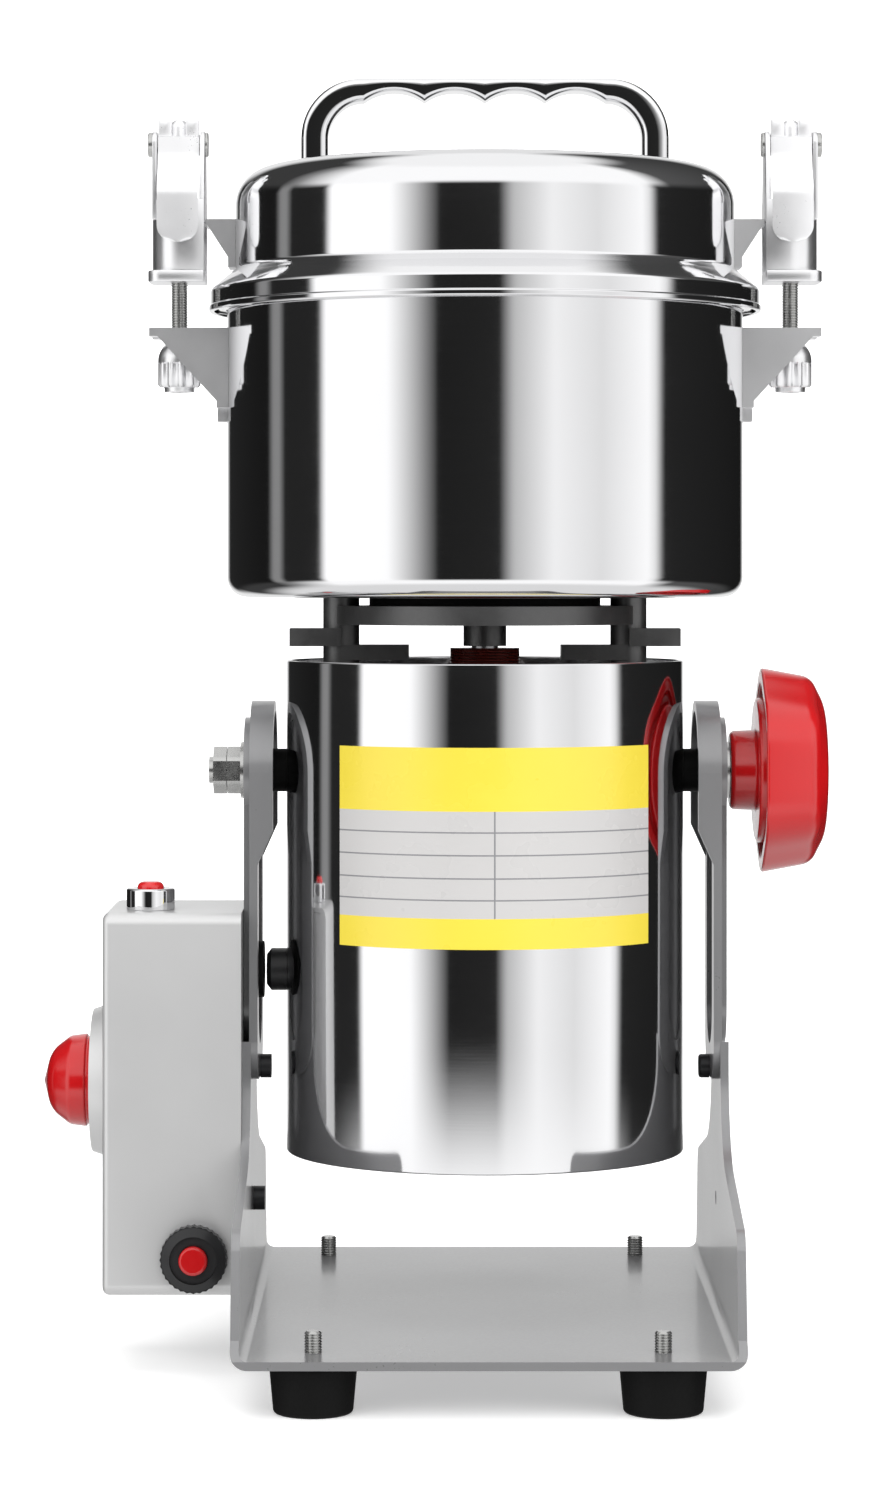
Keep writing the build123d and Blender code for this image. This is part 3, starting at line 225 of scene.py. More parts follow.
# colour clouds, roughness grain, optional brush lines and a fine bump
def makeFinish(name, colour, metal, rough, swing=0.08, tone=0.06, cloud=35.0, grain=900.0,
               brush=None, bump=0.0, reach=0.00002, **fixed):
    material, graph, shader = finishBase(name, Metallic=metal, **fixed)
    coord = graph.add("TexCoord").outputs["Object"]
    clouds = graph.noise(coord, cloud, 4.0)
    fine = graph.noise(graph.stretch(coord, brush) if brush else coord, grain, 2.0)
    mixTone = graph.blend(clouds, tint(colour, 1 - tone), tint(colour, 1 + tone))
    graph.join(mixTone, shader.inputs["Base Color"])
    both = graph.sum("ADD", graph.sum("MULTIPLY", clouds, 0.5), graph.sum("MULTIPLY", fine, 0.5))
    spread = graph.remap(both, 0.3, 0.7, max(0.01, rough * (1 - swing)), rough * (1 + swing))
    graph.join(spread, shader.inputs["Roughness"])
    if bump:
        relief = graph.add("Bump")
        relief.inputs["Strength"].default_value = bump
        relief.inputs["Distance"].default_value = reach
        graph.join(fine, relief.inputs["Height"])
        graph.join(relief.outputs[0], shader.inputs["Normal"])
    return material


turnedLines = (0.02, 0.02, 1.0)
finishes = {
    "mirror_steel": dict(colour=(0.80, 0.80, 0.81), metal=1.0, rough=0.07, swing=0.35, tone=0.02,
                         grain=2600.0, brush=turnedLines, bump=0.04),
    "satin_steel": dict(colour=(0.92, 0.92, 0.93), metal=0.96, rough=0.32, swing=0.1, tone=0.03,
                        cloud=60.0, grain=1500.0),
    "dull_steel": dict(colour=(0.5, 0.5, 0.51), metal=1.0, rough=0.34, swing=0.25, tone=0.1,
                       cloud=80.0, grain=1800.0, brush=turnedLines, bump=0.15),
    "zinc_steel": dict(colour=(0.56, 0.56, 0.55), metal=1.0, rough=0.26, swing=0.3, tone=0.1,
                       cloud=220.0, grain=2500.0),
    "black_steel": dict(colour=(0.025, 0.025, 0.027), metal=0.4, rough=0.38, swing=0.2, tone=0.2,
                        cloud=200.0, grain=2500.0, bump=0.12),
    "cast_metal": dict(colour=(0.145, 0.145, 0.145), metal=0.8, rough=0.40, swing=0.2, tone=0.16,
                       cloud=160.0, grain=1400.0, bump=0.5, reach=0.00006),
    "chrome_trim": dict(colour=(0.86, 0.86, 0.87), metal=1.0, rough=0.045, swing=0.4, tone=0.02,
                        cloud=120.0, grain=900.0, bump=0.02),
    "brass_parts": dict(colour=(0.72, 0.52, 0.24), metal=1.0, rough=0.3, swing=0.25, tone=0.12,
                        cloud=150.0, grain=1500.0, brush=turnedLines, bump=0.1),
    "stand_paint": dict(colour=(0.25, 0.25, 0.255), metal=0.35, rough=0.30, swing=0.12, tone=0.04,
                        cloud=14.0, grain=1100.0, bump=0.02, reach=0.00002,
                        **{"Coat Weight": 0.45, "Coat Roughness": 0.12}),
    "box_paint": dict(colour=(0.60, 0.60, 0.60), metal=0.45, rough=0.36, swing=0.15, tone=0.05,
                      cloud=18.0, grain=2400.0, bump=0.16, reach=0.00004,
                      **{"Coat Weight": 0.35, "Coat Roughness": 0.2}),
    "red_plastic": dict(colour=(0.52, 0.006, 0.008), metal=0.0, rough=0.2, swing=0.25, tone=0.07,
                        cloud=30.0, grain=500.0, bump=0.05, reach=0.00004,
                        **{"Coat Weight": 0.5, "Coat Roughness": 0.08}),
    "black_plastic": dict(colour=(0.018, 0.018, 0.019), metal=0.0, rough=0.36, swing=0.2, tone=0.25,
                          cloud=90.0, grain=1900.0, bump=0.12, reach=0.00002,
                          **{"Specular IOR Level": 0.35}),
    "black_rubber": dict(colour=(0.004, 0.004, 0.004), metal=0.0, rough=0.6, swing=0.18, tone=0.3,
                         cloud=120.0, grain=1300.0, bump=0.25, reach=0.00003,
                         **{"Specular IOR Level": 0.12}),
    "white_silicone": dict(colour=(0.82, 0.82, 0.80), metal=0.0, rough=0.45, swing=0.12, tone=0.04,
                           cloud=70.0, grain=1400.0, bump=0.12, reach=0.00004,
                           **{"Subsurface Weight": 0.1, "Subsurface Scale": 0.002}),
    "red_lens": dict(colour=(0.62, 0.012, 0.014), metal=0.0, rough=0.08, swing=0.2, tone=0.1,
                     cloud=160.0, grain=600.0, bump=0.03,
                     **{"Coat Weight": 0.8, "Coat Roughness": 0.04}),
}
finish = {name: makeFinish(name, **values) for name, values in finishes.items()}


# fine repeated lines: lamination edges and wound wire
def makeLined(name, colour, dark, metal, rough, pitch, along, bump):
    material, graph, shader = finishBase(name, Metallic=metal)
    coord = graph.add("TexCoord").outputs["Object"]
    wave = graph.add("TexWave", wave_type="BANDS", bands_direction=along)
    graph.join(coord, wave.inputs["Vector"])
    wave.inputs["Scale"].default_value = pi / (10 * pitch)
    wave.inputs["Distortion"].default_value = 0.6
    wave.inputs["Detail"].default_value = 1.0
    lines = wave.outputs["Fac"]
    spots = graph.noise(coord, 240.0, 3.0)
    tone = graph.blend(lines, dark, colour)
    tone = graph.blend(graph.remap(spots, 0.35, 0.75, 0.0, 0.35), tone, tint(colour, 1.4))
    graph.join(tone, shader.inputs["Base Color"])
    graph.join(graph.remap(spots, 0.3, 0.7, rough * 0.8, rough * 1.25), shader.inputs["Roughness"])
    relief = graph.add("Bump")
    relief.inputs["Strength"].default_value = bump
    relief.inputs["Distance"].default_value = 0.0003
    graph.join(lines, relief.inputs["Height"])
    graph.join(relief.outputs[0], shader.inputs["Normal"])
    return material


# the lever's brighter, less metallic copy of the satin steel: a painted highlight for the white that
# the polished lever reflects, set apart from the housing's steel
finish["lever_painted_highlight"] = makeFinish(
    "lever_painted_highlight", (0.93, 0.93, 0.94), 0.6, 0.3, swing=0.15, tone=0.03, cloud=60.0, grain=1500.0)
finish["lamination_steel"] = makeLined(
    "lamination_steel", (0.26, 0.26, 0.27, 1), (0.08, 0.08, 0.08, 1), 0.9, 0.42, 0.0007, "Z", 0.5)
finish["copper_winding"] = makeLined(
    "copper_winding", (0.16, 0.02, 0.014, 1), (0.03, 0.006, 0.005, 1), 0.35, 0.24, 0.0009, "Z", 0.9)

for entry in frame["record"]["subparts"]:
    piece = nodes[entry["node"]]
    material = finish[entry["material_slot"]]
    if piece.material_slots:
        for place in piece.material_slots:
            place.material = material
    else:
        piece.data.materials.append(material)
print("finishes: on every node")


# mesh helpers, with sizes in millimetres in the CAD frame

# corner points to a smooth chain: (a, b) stays sharp and (a, b, radius) is rounded
def soften(points, steps=6):
    chain = []
    last = len(points) - 1
    for number, point in enumerate(points):
        if len(point) == 2 or number in (0, last) or not point[2]:
            chain.append(Vector(point[:2]))
            continue
        here = Vector(point[:2])
        before = (Vector(points[number - 1][:2]) - here).normalized()
        after = (Vector(points[number + 1][:2]) - here).normalized()
        half = acos(max(-1.0, min(1.0, before.dot(after)))) / 2
        reach = point[2] / tan(half)
        centre = here + (before + after).normalized() * (point[2] / sin(half))
        start, end = here + before * reach - centre, here + after * reach - centre
        sweep = start.angle_signed(end)
        for step in range(steps + 1):
            chain.append(centre + Matrix.Rotation(-sweep * step / steps, 2) @ start)
    return chain


def ringOf(bm, points, closed=True):
    made = [bm.verts.new(point) for point in points]
    pairs = list(zip(made, made[1:])) + ([(made[-1], made[0])] if closed else [])
    return [bm.edges.new(pair) for pair in pairs]


axes = {"X": Vector((1, 0, 0)), "Y": Vector((0, 1, 0)), "Z": Vector((0, 0, 1))}


# (radius, height) points spun all round an axis
def spun(profile, steps=128, axis="Z", centre=(0, 0, 0), closed=False):
    bm = bmesh.new()
    along = axes[axis]
    out = Vector((0, 0, 1)) if axis == "X" else Vector((1, 0, 0))
    middle = Vector(centre)
    points = [middle + out * r + along * h for r, h in profile]
    edges = ringOf(bm, points, closed)
    geometry = list(bm.verts) + edges
    bmesh.ops.spin(bm, geom=geometry, cent=middle, axis=along, steps=steps, angle=2 * pi,
                   use_merge=True)
    return bm


# a flat piece from its outline, pushed out to a thickness, with soft edges
def plate(outline, plane, low, high, round=0.0, segments=2):
    bm = bmesh.new()
    spots = {
        "XZ": lambda a, b, c: (a, c, b),
        "YZ": lambda a, b, c: (c, a, b),
        "XY": lambda a, b, c: (a, b, c),
    }[plane]
    push = {"XZ": (0, 1, 0), "YZ": (1, 0, 0), "XY": (0, 0, 1)}[plane]
    face = bm.faces.new([bm.verts.new(spots(a, b, low)) for a, b in outline])
    grown = bmesh.ops.extrude_face_region(bm, geom=[face])
    pushed = [item for item in grown["geom"] if isinstance(item, bmesh.types.BMVert)]
    bmesh.ops.translate(bm, verts=pushed, vec=Vector(push) * (high - low))
    bmesh.ops.recalc_face_normals(bm, faces=bm.faces)
    if round:
        sharp = [edge for edge in bm.edges if edge.calc_face_angle(0) > radians(35)]
        bmesh.ops.bevel(bm, geom=sharp, offset=round, segments=segments, profile=0.5,
                        affect="EDGES", clamp_overlap=True, material=-1)
    return bm


def merged(*meshes):
    whole = bmesh.new()
    for part in meshes:
        mesh = bpy.data.meshes.new("joining")
        part.to_mesh(mesh)
        part.free()
        whole.from_mesh(mesh)
        bpy.data.meshes.remove(mesh)
    return whole


def moved(bm, rule):
    for vert in bm.verts:
        vert.co = Vector(rule(vert.co))
    return bm


def thickened(bm, thickness):
    bmesh.ops.recalc_face_normals(bm, faces=bm.faces)
    bmesh.ops.solidify(bm, geom=list(bm.faces), thickness=thickness)
    return bm


# a closed skin through rings of points
def lofted(rings):
    bm = bmesh.new()
    loops = [ringOf(bm, ring) for ring in rings]
    for first, second in zip(loops, loops[1:]):
        bmesh.ops.bridge_loops(bm, edges=first + second)
    for loop in (loops[0], loops[-1]):
        bmesh.ops.contextual_create(bm, geom=loop)
    return bm


# holes cut through a shell, one for each cutter
def bored(bm, *cutters):
    mesh = bpy.data.meshes.new("boring")
    bm.to_mesh(mesh)
    bm.free()
    block = bpy.data.objects.new("boring", mesh)
    scene.collection.objects.link(block)
    for cutter in cutters:
        bmesh.ops.recalc_face_normals(cutter, faces=cutter.faces)
        toolMesh = bpy.data.meshes.new("borer")
        cutter.to_mesh(toolMesh)
        cutter.free()
        tool = bpy.data.objects.new("borer", toolMesh)
        scene.collection.objects.link(tool)
        cut = block.modifiers.new("bore", "BOOLEAN")
        cut.operation, cut.solver, cut.object = "DIFFERENCE", "EXACT", tool
        done = bmesh.new()
        done.from_object(block, bpy.context.evaluated_depsgraph_get())
        block.modifiers.clear()
        done.to_mesh(mesh)
        done.free()
        bpy.data.objects.remove(tool)
        bpy.data.meshes.remove(toolMesh)
    result = bmesh.new()
    result.from_mesh(mesh)
    bpy.data.objects.remove(block)
    bpy.data.meshes.remove(mesh)
    return result


# cleans a mesh, scales it to metres and hangs it on its body
def addPiece(name, bm, body, slot, sharp=38, material=None, mirrored=False):
    bmesh.ops.remove_doubles(bm, verts=bm.verts, dist=0.0005)
    loose = [vert for vert in bm.verts if not vert.link_faces]
    bmesh.ops.delete(bm, geom=loose, context="VERTS")
    bmesh.ops.scale(bm, verts=bm.verts, vec=Vector((-mm if mirrored else mm, mm, mm)))
    bmesh.ops.recalc_face_normals(bm, faces=bm.faces)
    mesh = bpy.data.meshes.new(name)
    bm.to_mesh(mesh)
    bm.free()
    mesh.polygons.foreach_set("use_smooth", [True] * len(mesh.polygons))
    mesh.set_sharp_from_angle(angle=radians(sharp))
    mesh.materials.append(material or finish[slot])
    piece = bpy.data.objects.new(name, mesh)
    scene.collection.objects.link(piece)
    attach(piece, body)
    return piece


# bowl, spun from one sheet, with a rolled lip
bowl = {"radius": 78.0, "wall": 1.2, "bottom": 230.0, "top": 318.0, "corner": 6.0,
        "lip": 80.8, "lipDepth": 1.2, "lipRound": 0.55, "rootRound": 0.5, "mouthRound": 0.4,
        "steps": 192}
bowlInside = bowl["radius"] - bowl["wall"]
bowlProfile = soften([
    (0, bowl["bottom"]),
    (bowl["radius"], bowl["bottom"], bowl["corner"]),
    (bowl["radius"], bowl["top"] - bowl["lipDepth"], bowl["rootRound"]),
    (bowl["lip"], bowl["top"] - bowl["lipDepth"], bowl["lipRound"]),
    (bowl["lip"], bowl["top"], bowl["lipRound"]),
    (bowlInside, bowl["top"], bowl["mouthRound"]),
    (bowlInside, bowl["bottom"] + bowl["wall"], bowl["corner"] - bowl["wall"]),
    (0, bowl["bottom"] + bowl["wall"]),
], 8)
bowlPiece = addPiece("bowlShell", spun(bowlProfile, bowl["steps"]), "head", "mirror_steel", 50)
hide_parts("bowl")
print("bowl: shell spun")

# lid: domed shoulder, sloping step, upright skirt and a rolled edge
lid = {"top": 359.4, "wall": 75.5, "corner": 11.0, "sheet": 1.2, "skirt": 83.0, "skirtTop": 322.7,
       "skirtBottom": 316.0, "rise": 4.3, "stepOut": 2.4, "stepUp": 2.0, "bead": 0.5,
       "beadTop": 1.8, "beadRound": 0.7, "innerRound": 0.6, "edgeRound": 0.4, "steps": 192}
shoulder = lid["skirtTop"] + lid["rise"]
lidInside = lid["wall"] - lid["sheet"]
skirtInside = lid["skirt"] - lid["sheet"]
beadReach = lid["skirt"] + lid["bead"]
lidProfile = soften([
    (0, lid["top"]),
    (lid["wall"], lid["top"], lid["corner"]),
    (lid["wall"], shoulder + lid["stepUp"], 1.6),
    (lid["wall"] + lid["stepOut"], shoulder, 1.4),
    (lid["skirt"], lid["skirtTop"], 1.8),
    (lid["skirt"], lid["skirtBottom"] + 2.0, 0.3),
    (beadReach, lid["skirtBottom"] + lid["beadTop"], lid["edgeRound"]),
    (beadReach, lid["skirtBottom"], lid["beadRound"]),
    (skirtInside, lid["skirtBottom"], lid["edgeRound"]),
    (skirtInside, lid["skirtTop"] - lid["sheet"], lid["innerRound"]),
    (lid["wall"] + 1.6, shoulder - lid["sheet"], lid["innerRound"]),
    (lidInside, shoulder + 0.8, lid["innerRound"]),
    (lidInside, lid["top"] - lid["sheet"], lid["corner"] - lid["sheet"]),
    (0, lid["top"] - lid["sheet"]),
], 8)
lidPiece = addPiece("lidShell", spun(lidProfile, lid["steps"]), "lid", "mirror_steel", 50)
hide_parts("lid_shell")
print("lid: shell spun")

# motor can with hemmed ends
can = {"radius": 60.0, "wall": 1.0, "bottom": 63.0, "top": 211.0, "hem": 0.6, "outerRound": 0.5,
       "innerRound": 0.3, "steps": 160}
canInside = can["radius"] - can["wall"]
canProfile = soften([
    (canInside, can["bottom"] + can["hem"], can["innerRound"]),
    (canInside, can["bottom"], can["innerRound"]),
    (can["radius"], can["bottom"], can["outerRound"]),
    (can["radius"], can["top"], can["outerRound"]),
    (canInside, can["top"], can["innerRound"]),
    (canInside, can["top"] - can["hem"], can["innerRound"]),
], 4)
canPiece = addPiece("canShell", spun(canProfile, can["steps"], closed=True), "head", "mirror_steel", 50)
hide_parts("motor_can")
print("can: shell spun")

# bare label round the front of the can: left and right in degrees, the rest in millimetres
label = {"radius": 60.12, "sheet": 0.1, "left": -45.6, "right": 52.4, "low": 128.3, "high": 186.7,
         "whiteLow": 137.0, "whiteHigh": 168.2, "rows": (162.1, 155.5, 148.8, 142.5),
         "column": 2.1, "rowLine": 0.22, "columnLine": 0.004,
         "yellow": ((0.80, 0.64, 0.06, 1), (0.83, 0.67, 0.07, 1)),
         "paper": ((0.535, 0.525, 0.52, 1), (0.55, 0.54, 0.535, 1)),
         "ink": (0.24, 0.24, 0.25, 1)}


def makePrint():
    material, graph, shader = finishBase("labelPrint", Roughness=0.28)
    coord = graph.add("TexCoord").outputs["Object"]
    parts = graph.add("SeparateXYZ")
    graph.join(coord, parts.inputs[0])
    height = parts.outputs["Z"]
    span = label["high"] - label["low"]
    place = graph.remap(height, label["low"] * mm, label["high"] * mm, 0.0, 1.0)
    stops = [(0.0, 0.0), ((label["whiteLow"] - label["low"]) / span, 1.0),
             ((label["whiteHigh"] - label["low"]) / span, 0.0)]
    table = graph.ramp(place, stops, "CONSTANT")
    turned = graph.sum("MULTIPLY", parts.outputs["Y"], -1.0)
    around = graph.sum("ARCTAN2", parts.outputs["X"], turned)
    lines = graph.sum("COMPARE", around, radians(label["column"]), label["columnLine"])
    for row in label["rows"]:
        ruledRow = graph.sum("COMPARE", height, row * mm, label["rowLine"] * mm)
        lines = graph.sum("ADD", lines, ruledRow, clamp=True)
    cloud = graph.noise(coord, 60.0)
    yellow = graph.blend(cloud, *label["yellow"])
    paper = graph.blend(cloud, *label["paper"])
    ruled = graph.blend(lines, paper, label["ink"])
    graph.join(graph.blend(table, yellow, ruled), shader.inputs["Base Color"])
    graph.join(graph.remap(cloud, 0.3, 0.7, 0.24, 0.34), shader.inputs["Roughness"])
    return material


def onCan(spot):
    angle = radians(label["left"] + (spot.x + 1) / 2 * (label["right"] - label["left"]))
    height = label["low"] + (spot.y + 1) / 2 * (label["high"] - label["low"])
    return label["radius"] * sin(angle), -label["radius"] * cos(angle), height


labelSheet = bmesh.new()
bmesh.ops.create_grid(labelSheet, x_segments=72, y_segments=6, size=1)
thickened(moved(labelSheet, onCan), -label["sheet"])
addPiece("labelSheet", labelSheet, "head", "white_silicone", 40, makePrint())
print("label: sheet bent round the can")

# cast grip on the lid: a loft through rounded sections, with four finger hollows
grip = {"half": 55.6, "leg": 8.2, "foot": 359.42, "footRings": (0, 3, 6), "top": 386.7, "bar": 7.0,
        "depth": 6.5, "corner": 18.0, "pitch": 18.3, "hollow": 3.1, "power": 5.0, "around": 48,
        "cornerSteps": 14, "barSteps": 74}


def gripUnder(x):
    under = grip["top"] - grip["bar"]
    if abs(x) >= 2 * grip["pitch"]:
        return under
    radius = ((grip["pitch"] / 2) ** 2 + grip["hollow"] ** 2) / (2 * grip["hollow"])
    offset = (x + 2 * grip["pitch"]) % grip["pitch"] - grip["pitch"] / 2
    return under + grip["hollow"] - radius + sqrt(radius * radius - offset * offset)


# pairs of points, outer and inner, from the left foot over to the middle of the bar
def gripSections():
    edge, corner = grip["half"] - grip["corner"], grip["corner"]
    low = grip["top"] - corner
    inner = corner - grip["leg"]
    pairs = [((-grip["half"], grip["foot"] + up), (-grip["half"] + grip["leg"], grip["foot"] + up))
             for up in grip["footRings"]]
    for step in range(grip["cornerSteps"] + 1):
        share = step / grip["cornerSteps"]
        angle = pi - pi / 2 * share
        rise = (grip["bar"] - grip["leg"]) * share
        pairs.append(((-edge + corner * cos(angle), low + corner * sin(angle)),
                      (-edge + inner * cos(angle), low + inner * sin(angle) - rise * sin(angle))))
    for step in range(1, grip["barSteps"]):
        x = -edge + edge * step / grip["barSteps"]
        pairs.append(((x, grip["top"]), (x, gripUnder(x))))
    return pairs


def gripRing(pair):
    outer, inner = Vector(pair[0]), Vector(pair[1])
    middle, reach = (outer + inner) / 2, (outer - inner) / 2
    ring = []
    for step in range(grip["around"]):
        angle = 2 * pi * step / grip["around"]
        along = abs(cos(angle)) ** (2 / grip["power"]) * (1 if cos(angle) >= 0 else -1)
        across = abs(sin(angle)) ** (2 / grip["power"]) * (1 if sin(angle) >= 0 else -1)
        spot = middle + reach * along
        ring.append((spot.x, grip["depth"] * across, spot.y))
    return ring


leftPairs = gripSections()
middlePair = ((0, grip["top"]), (0, gripUnder(0)))
rightPairs = [((-a[0], a[1]), (-b[0], b[1])) for a, b in reversed(leftPairs)]
gripRings = [gripRing(pair) for pair in leftPairs + [middlePair] + rightPairs]
gripPiece = addPiece("castGrip", lofted(gripRings), "lid", "chrome_trim", 50)
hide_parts("lid_handle")
print("grip: cast bar lofted")

# clamp knob: spun from (radius, x, round), then its cap is pressed into lobes
knob = {"height": 177.6, "lobes": 6, "depth": 1.9, "back": 83.2, "lobeFrom": 20, "lobeRun": 7,
        "steps": 180,
        "cap": [(0, 104.3), (20.5, 102.4, 14.0), (28.2, 98.6, 5.5), (31.0, 83.4, 0.7)],
        "recess": [(26.6, 83.4, 0.8), (25.8, 88.0, 1.0), (22.6, 88.0, 0.8)],
        "hub": [(21.8, 81.9, 1.2), (12.2, 81.9, 1.0), (11.9, 73.95, 1.7)],
        "bore": [(4.1, 73.95, 0.3), (4.1, 86.0), (0, 86.0)]}


def lobed(spot):
    y, z = spot.y, spot.z - knob["height"]
    reach = hypot(y, z)
    if reach < knob["lobeFrom"] or spot.x < knob["back"]:
        return spot
    share = min(1.0, (reach - knob["lobeFrom"]) / knob["lobeRun"])
    share = share * share * (3 - 2 * share)
    wave = (1 - cos(knob["lobes"] * atan2(y, z))) / 2
    factor = (reach - knob["depth"] * share * wave) / reach
    return spot.x, y * factor, knob["height"] + z * factor


knobProfile = soften(knob["cap"] + knob["recess"] + knob["hub"] + knob["bore"], 8)
knobMesh = moved(spun(knobProfile, knob["steps"], "X", (0, 0, knob["height"])), lobed)
knobPiece = addPiece("lobedKnob", knobMesh, "clamp_knob", "red_plastic", 50)
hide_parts("clamp_knob")
print("clamp knob: cap pressed into lobes")

# timer knob: a red dome with a shadow gap at its base, spun from (radius, x, round)
dial = {"y": -2.0, "z": 84.0, "steps": 96,
        "dome": [(0, -133.3), (9.0, -131.0, 9.0), (13.4, -125.2, 3.0), (14.0, -120.3, 0.5)],
        "gap": [(13.3, -120.0, 0.2), (13.3, -119.4, 0.2)],
        "skirt": [(13.9, -119.2, 0.2), (13.9, -118.5, 0.3)],
        "bore": [(3.1, -118.5), (3.1, -126.2), (0, -126.2)]}
dialProfile = soften(dial["dome"] + dial["gap"] + dial["skirt"] + dial["bore"], 8)
dialMesh = spun(dialProfile, dial["steps"], "X", (0, dial["y"], dial["z"]))
dialPiece = addPiece("domeKnob", dialMesh, "timer_knob", "red_plastic", 50)
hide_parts("timer_knob")

# the dial plate's ticks, bare of any figures: every third one is long
ticks = {"face": -118.3, "thick": 0.12, "inner": 15.6, "outer": 18.6, "half": 0.28, "count": 13,
         "span": 300, "long": 1.0, "short": 0.6}


def tickMark(turn, share):
    length = (ticks["outer"] - ticks["inner"]) * share

    def setTick(spot):
        reach = ticks["outer"] - length * (0.5 - spot.z)
        side = spot.y * 2 * ticks["half"]
        y = reach * sin(turn) + side * cos(turn)
        z = reach * cos(turn) - side * sin(turn)
        return ticks["face"] + spot.x * ticks["thick"], dial["y"] + y, dial["z"] + z

    mark = bmesh.new()
    bmesh.ops.create_cube(mark, size=1)
    return moved(mark, setTick)


tickMarks = []
for number in range(ticks["count"]):
    turn = radians(ticks["span"] * (number / (ticks["count"] - 1) - 0.5))
    tickMarks.append(tickMark(turn, ticks["short"] if number % 3 else ticks["long"]))
addPiece("dialTicks", merged(*tickMarks), "stand", "black_plastic", 40)
print("timer: dome and ticks done")

# control box: one pressed tray with soft edges, open towards the arm
case = {"outer": -113.7, "inner": -72.56, "front": -30.0, "back": 26.0, "low": 23.0, "high": 136.5,
        "corner": 3.5, "edge": 2.1, "wall": 1.5, "borerSteps": 48}
# each hole runs from one depth to the other along its axis
case["holes"] = [
    # timer shaft
    {"axis": "X", "centre": (0, dial["y"], dial["z"]), "radius": 4.0,
     "from": case["outer"] - 1.3, "to": case["outer"] + 2.7},
    # pilot lamp
    {"axis": "Z", "centre": (-100.3, -14.0, 0), "radius": 4.05,
     "from": case["high"] - 2.5, "to": case["high"] + 1.5},
    # reset button's neck
    {"axis": "Y", "centre": (-86.4, 0, 34.5), "radius": 7.05,
     "from": case["front"] - 1.5, "to": case["front"] + 3.0},
    # mains gland
    {"axis": "Y", "centre": (-92.5, 0, 45.0), "radius": 5.55,
     "from": case["back"] - 3.0, "to": case["back"] + 1.5},
]


def caseTray():
    corner, middle = case["corner"], (case["front"] + case["back"]) / 2
    outline = soften([
        (middle, case["low"]),
        (case["back"], case["low"], corner), (case["back"], case["high"], corner),
        (case["front"], case["high"], corner), (case["front"], case["low"], corner),
        (middle, case["low"]),
    ], 6)[:-1]
    tray = plate(outline, "YZ", case["outer"], case["inner"])
    near = 0.01
    rim = [edge for edge in tray.edges
           if all(abs(vert.co.x - case["outer"]) < near for vert in edge.verts)]
    bmesh.ops.bevel(tray, geom=rim, offset=case["edge"], segments=6, profile=0.5, affect="EDGES",
                    clamp_overlap=True, material=-1)
    mouth = [face for face in tray.faces if face.calc_center_median().x > case["inner"] - near]
    bmesh.ops.inset_region(tray, faces=mouth, thickness=case["wall"], use_even_offset=True)
    # the inset mouth is the one many-sided face that looks towards the arm
    mouth = [face for face in tray.faces if face.normal.x > 0.9 and len(face.verts) > 8]
    deep = bmesh.ops.extrude_face_region(tray, geom=mouth)
    floor = [item for item in deep["geom"] if isinstance(item, bmesh.types.BMVert)]
    inward = (case["outer"] + case["wall"] - case["inner"], 0, 0)
    bmesh.ops.translate(tray, verts=floor, vec=inward)
    left = [face for face in mouth if face.is_valid]
    bmesh.ops.delete(tray, geom=left, context="FACES_ONLY")
    bmesh.ops.recalc_face_normals(tray, faces=tray.faces)
    return tray


def borer(hole):
    low, high, radius = hole["from"], hole["to"], hole["radius"]
    outline = [(0, low), (radius, low), (radius, high), (0, high)]
    return spun(outline, case["borerSteps"], hole["axis"], hole["centre"])


caseMesh = bored(caseTray(), *[borer(hole) for hole in case["holes"]])
casePiece = addPiece("boxCase", caseMesh, "stand", "box_paint", 40)
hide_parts("control_box_shell")
print("control box: tray pressed and bored")

# pilot lamp: a chrome ring and a domed lens
lamp = {"centre": (-100.3, -14.0, 0), "bore": 4.1, "ring": 7.25, "base": 136.55, "ringTop": 142.9,
        "lens": 4.0, "lensLow": 123.0, "lensTop": 144.9}
ringProfile = soften([
    (lamp["bore"], lamp["base"]), (lamp["ring"], lamp["base"], 0.2),
    (lamp["ring"], lamp["ringTop"], 0.7), (lamp["bore"], lamp["ringTop"], 0.4),
    (lamp["bore"], lamp["base"]),
], 5)[:-1]
ringMesh = spun(ringProfile, 72, "Z", lamp["centre"], True)
ringPiece = addPiece("lampRing", ringMesh, "stand", "chrome_trim", 40)
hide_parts("lamp_bezel")
lensProfile = soften([
    (0, lamp["lensLow"]), (lamp["lens"], lamp["lensLow"], 0.3),
    (lamp["lens"], lamp["lensTop"], 1.9), (0, lamp["lensTop"]),
], 8)
lensPiece = addPiece("lampDome", spun(lensProfile, 48, "Z", lamp["centre"]), "stand", "red_lens", 40)
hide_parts("lamp_lens")
print("pilot lamp: ring and lens done")


# a thread as fine closed ridges, chamfered at both ends
def threadProfile(radius, low, high, pitch, depth, crown=0.6):
    points = [(0, low), (radius - crown, low), (radius, low + crown)]
    turns = int((high - low - 2 * crown) / pitch)
    for turn in range(turns):
        base = low + crown + turn * pitch
        points += [(radius, base + 0.1 * pitch), (radius - depth, base + 0.5 * pitch),
                   (radius, base + 0.9 * pitch)]
    points += [(radius, high - crown), (radius - crown, high), (0, high)]
    return points


def hexOutline(flats, x, y):
    reach = flats / sqrt(3)
    return [(x + reach * cos(pi / 3 * n), y + reach * sin(pi / 3 * n)) for n in range(6)]


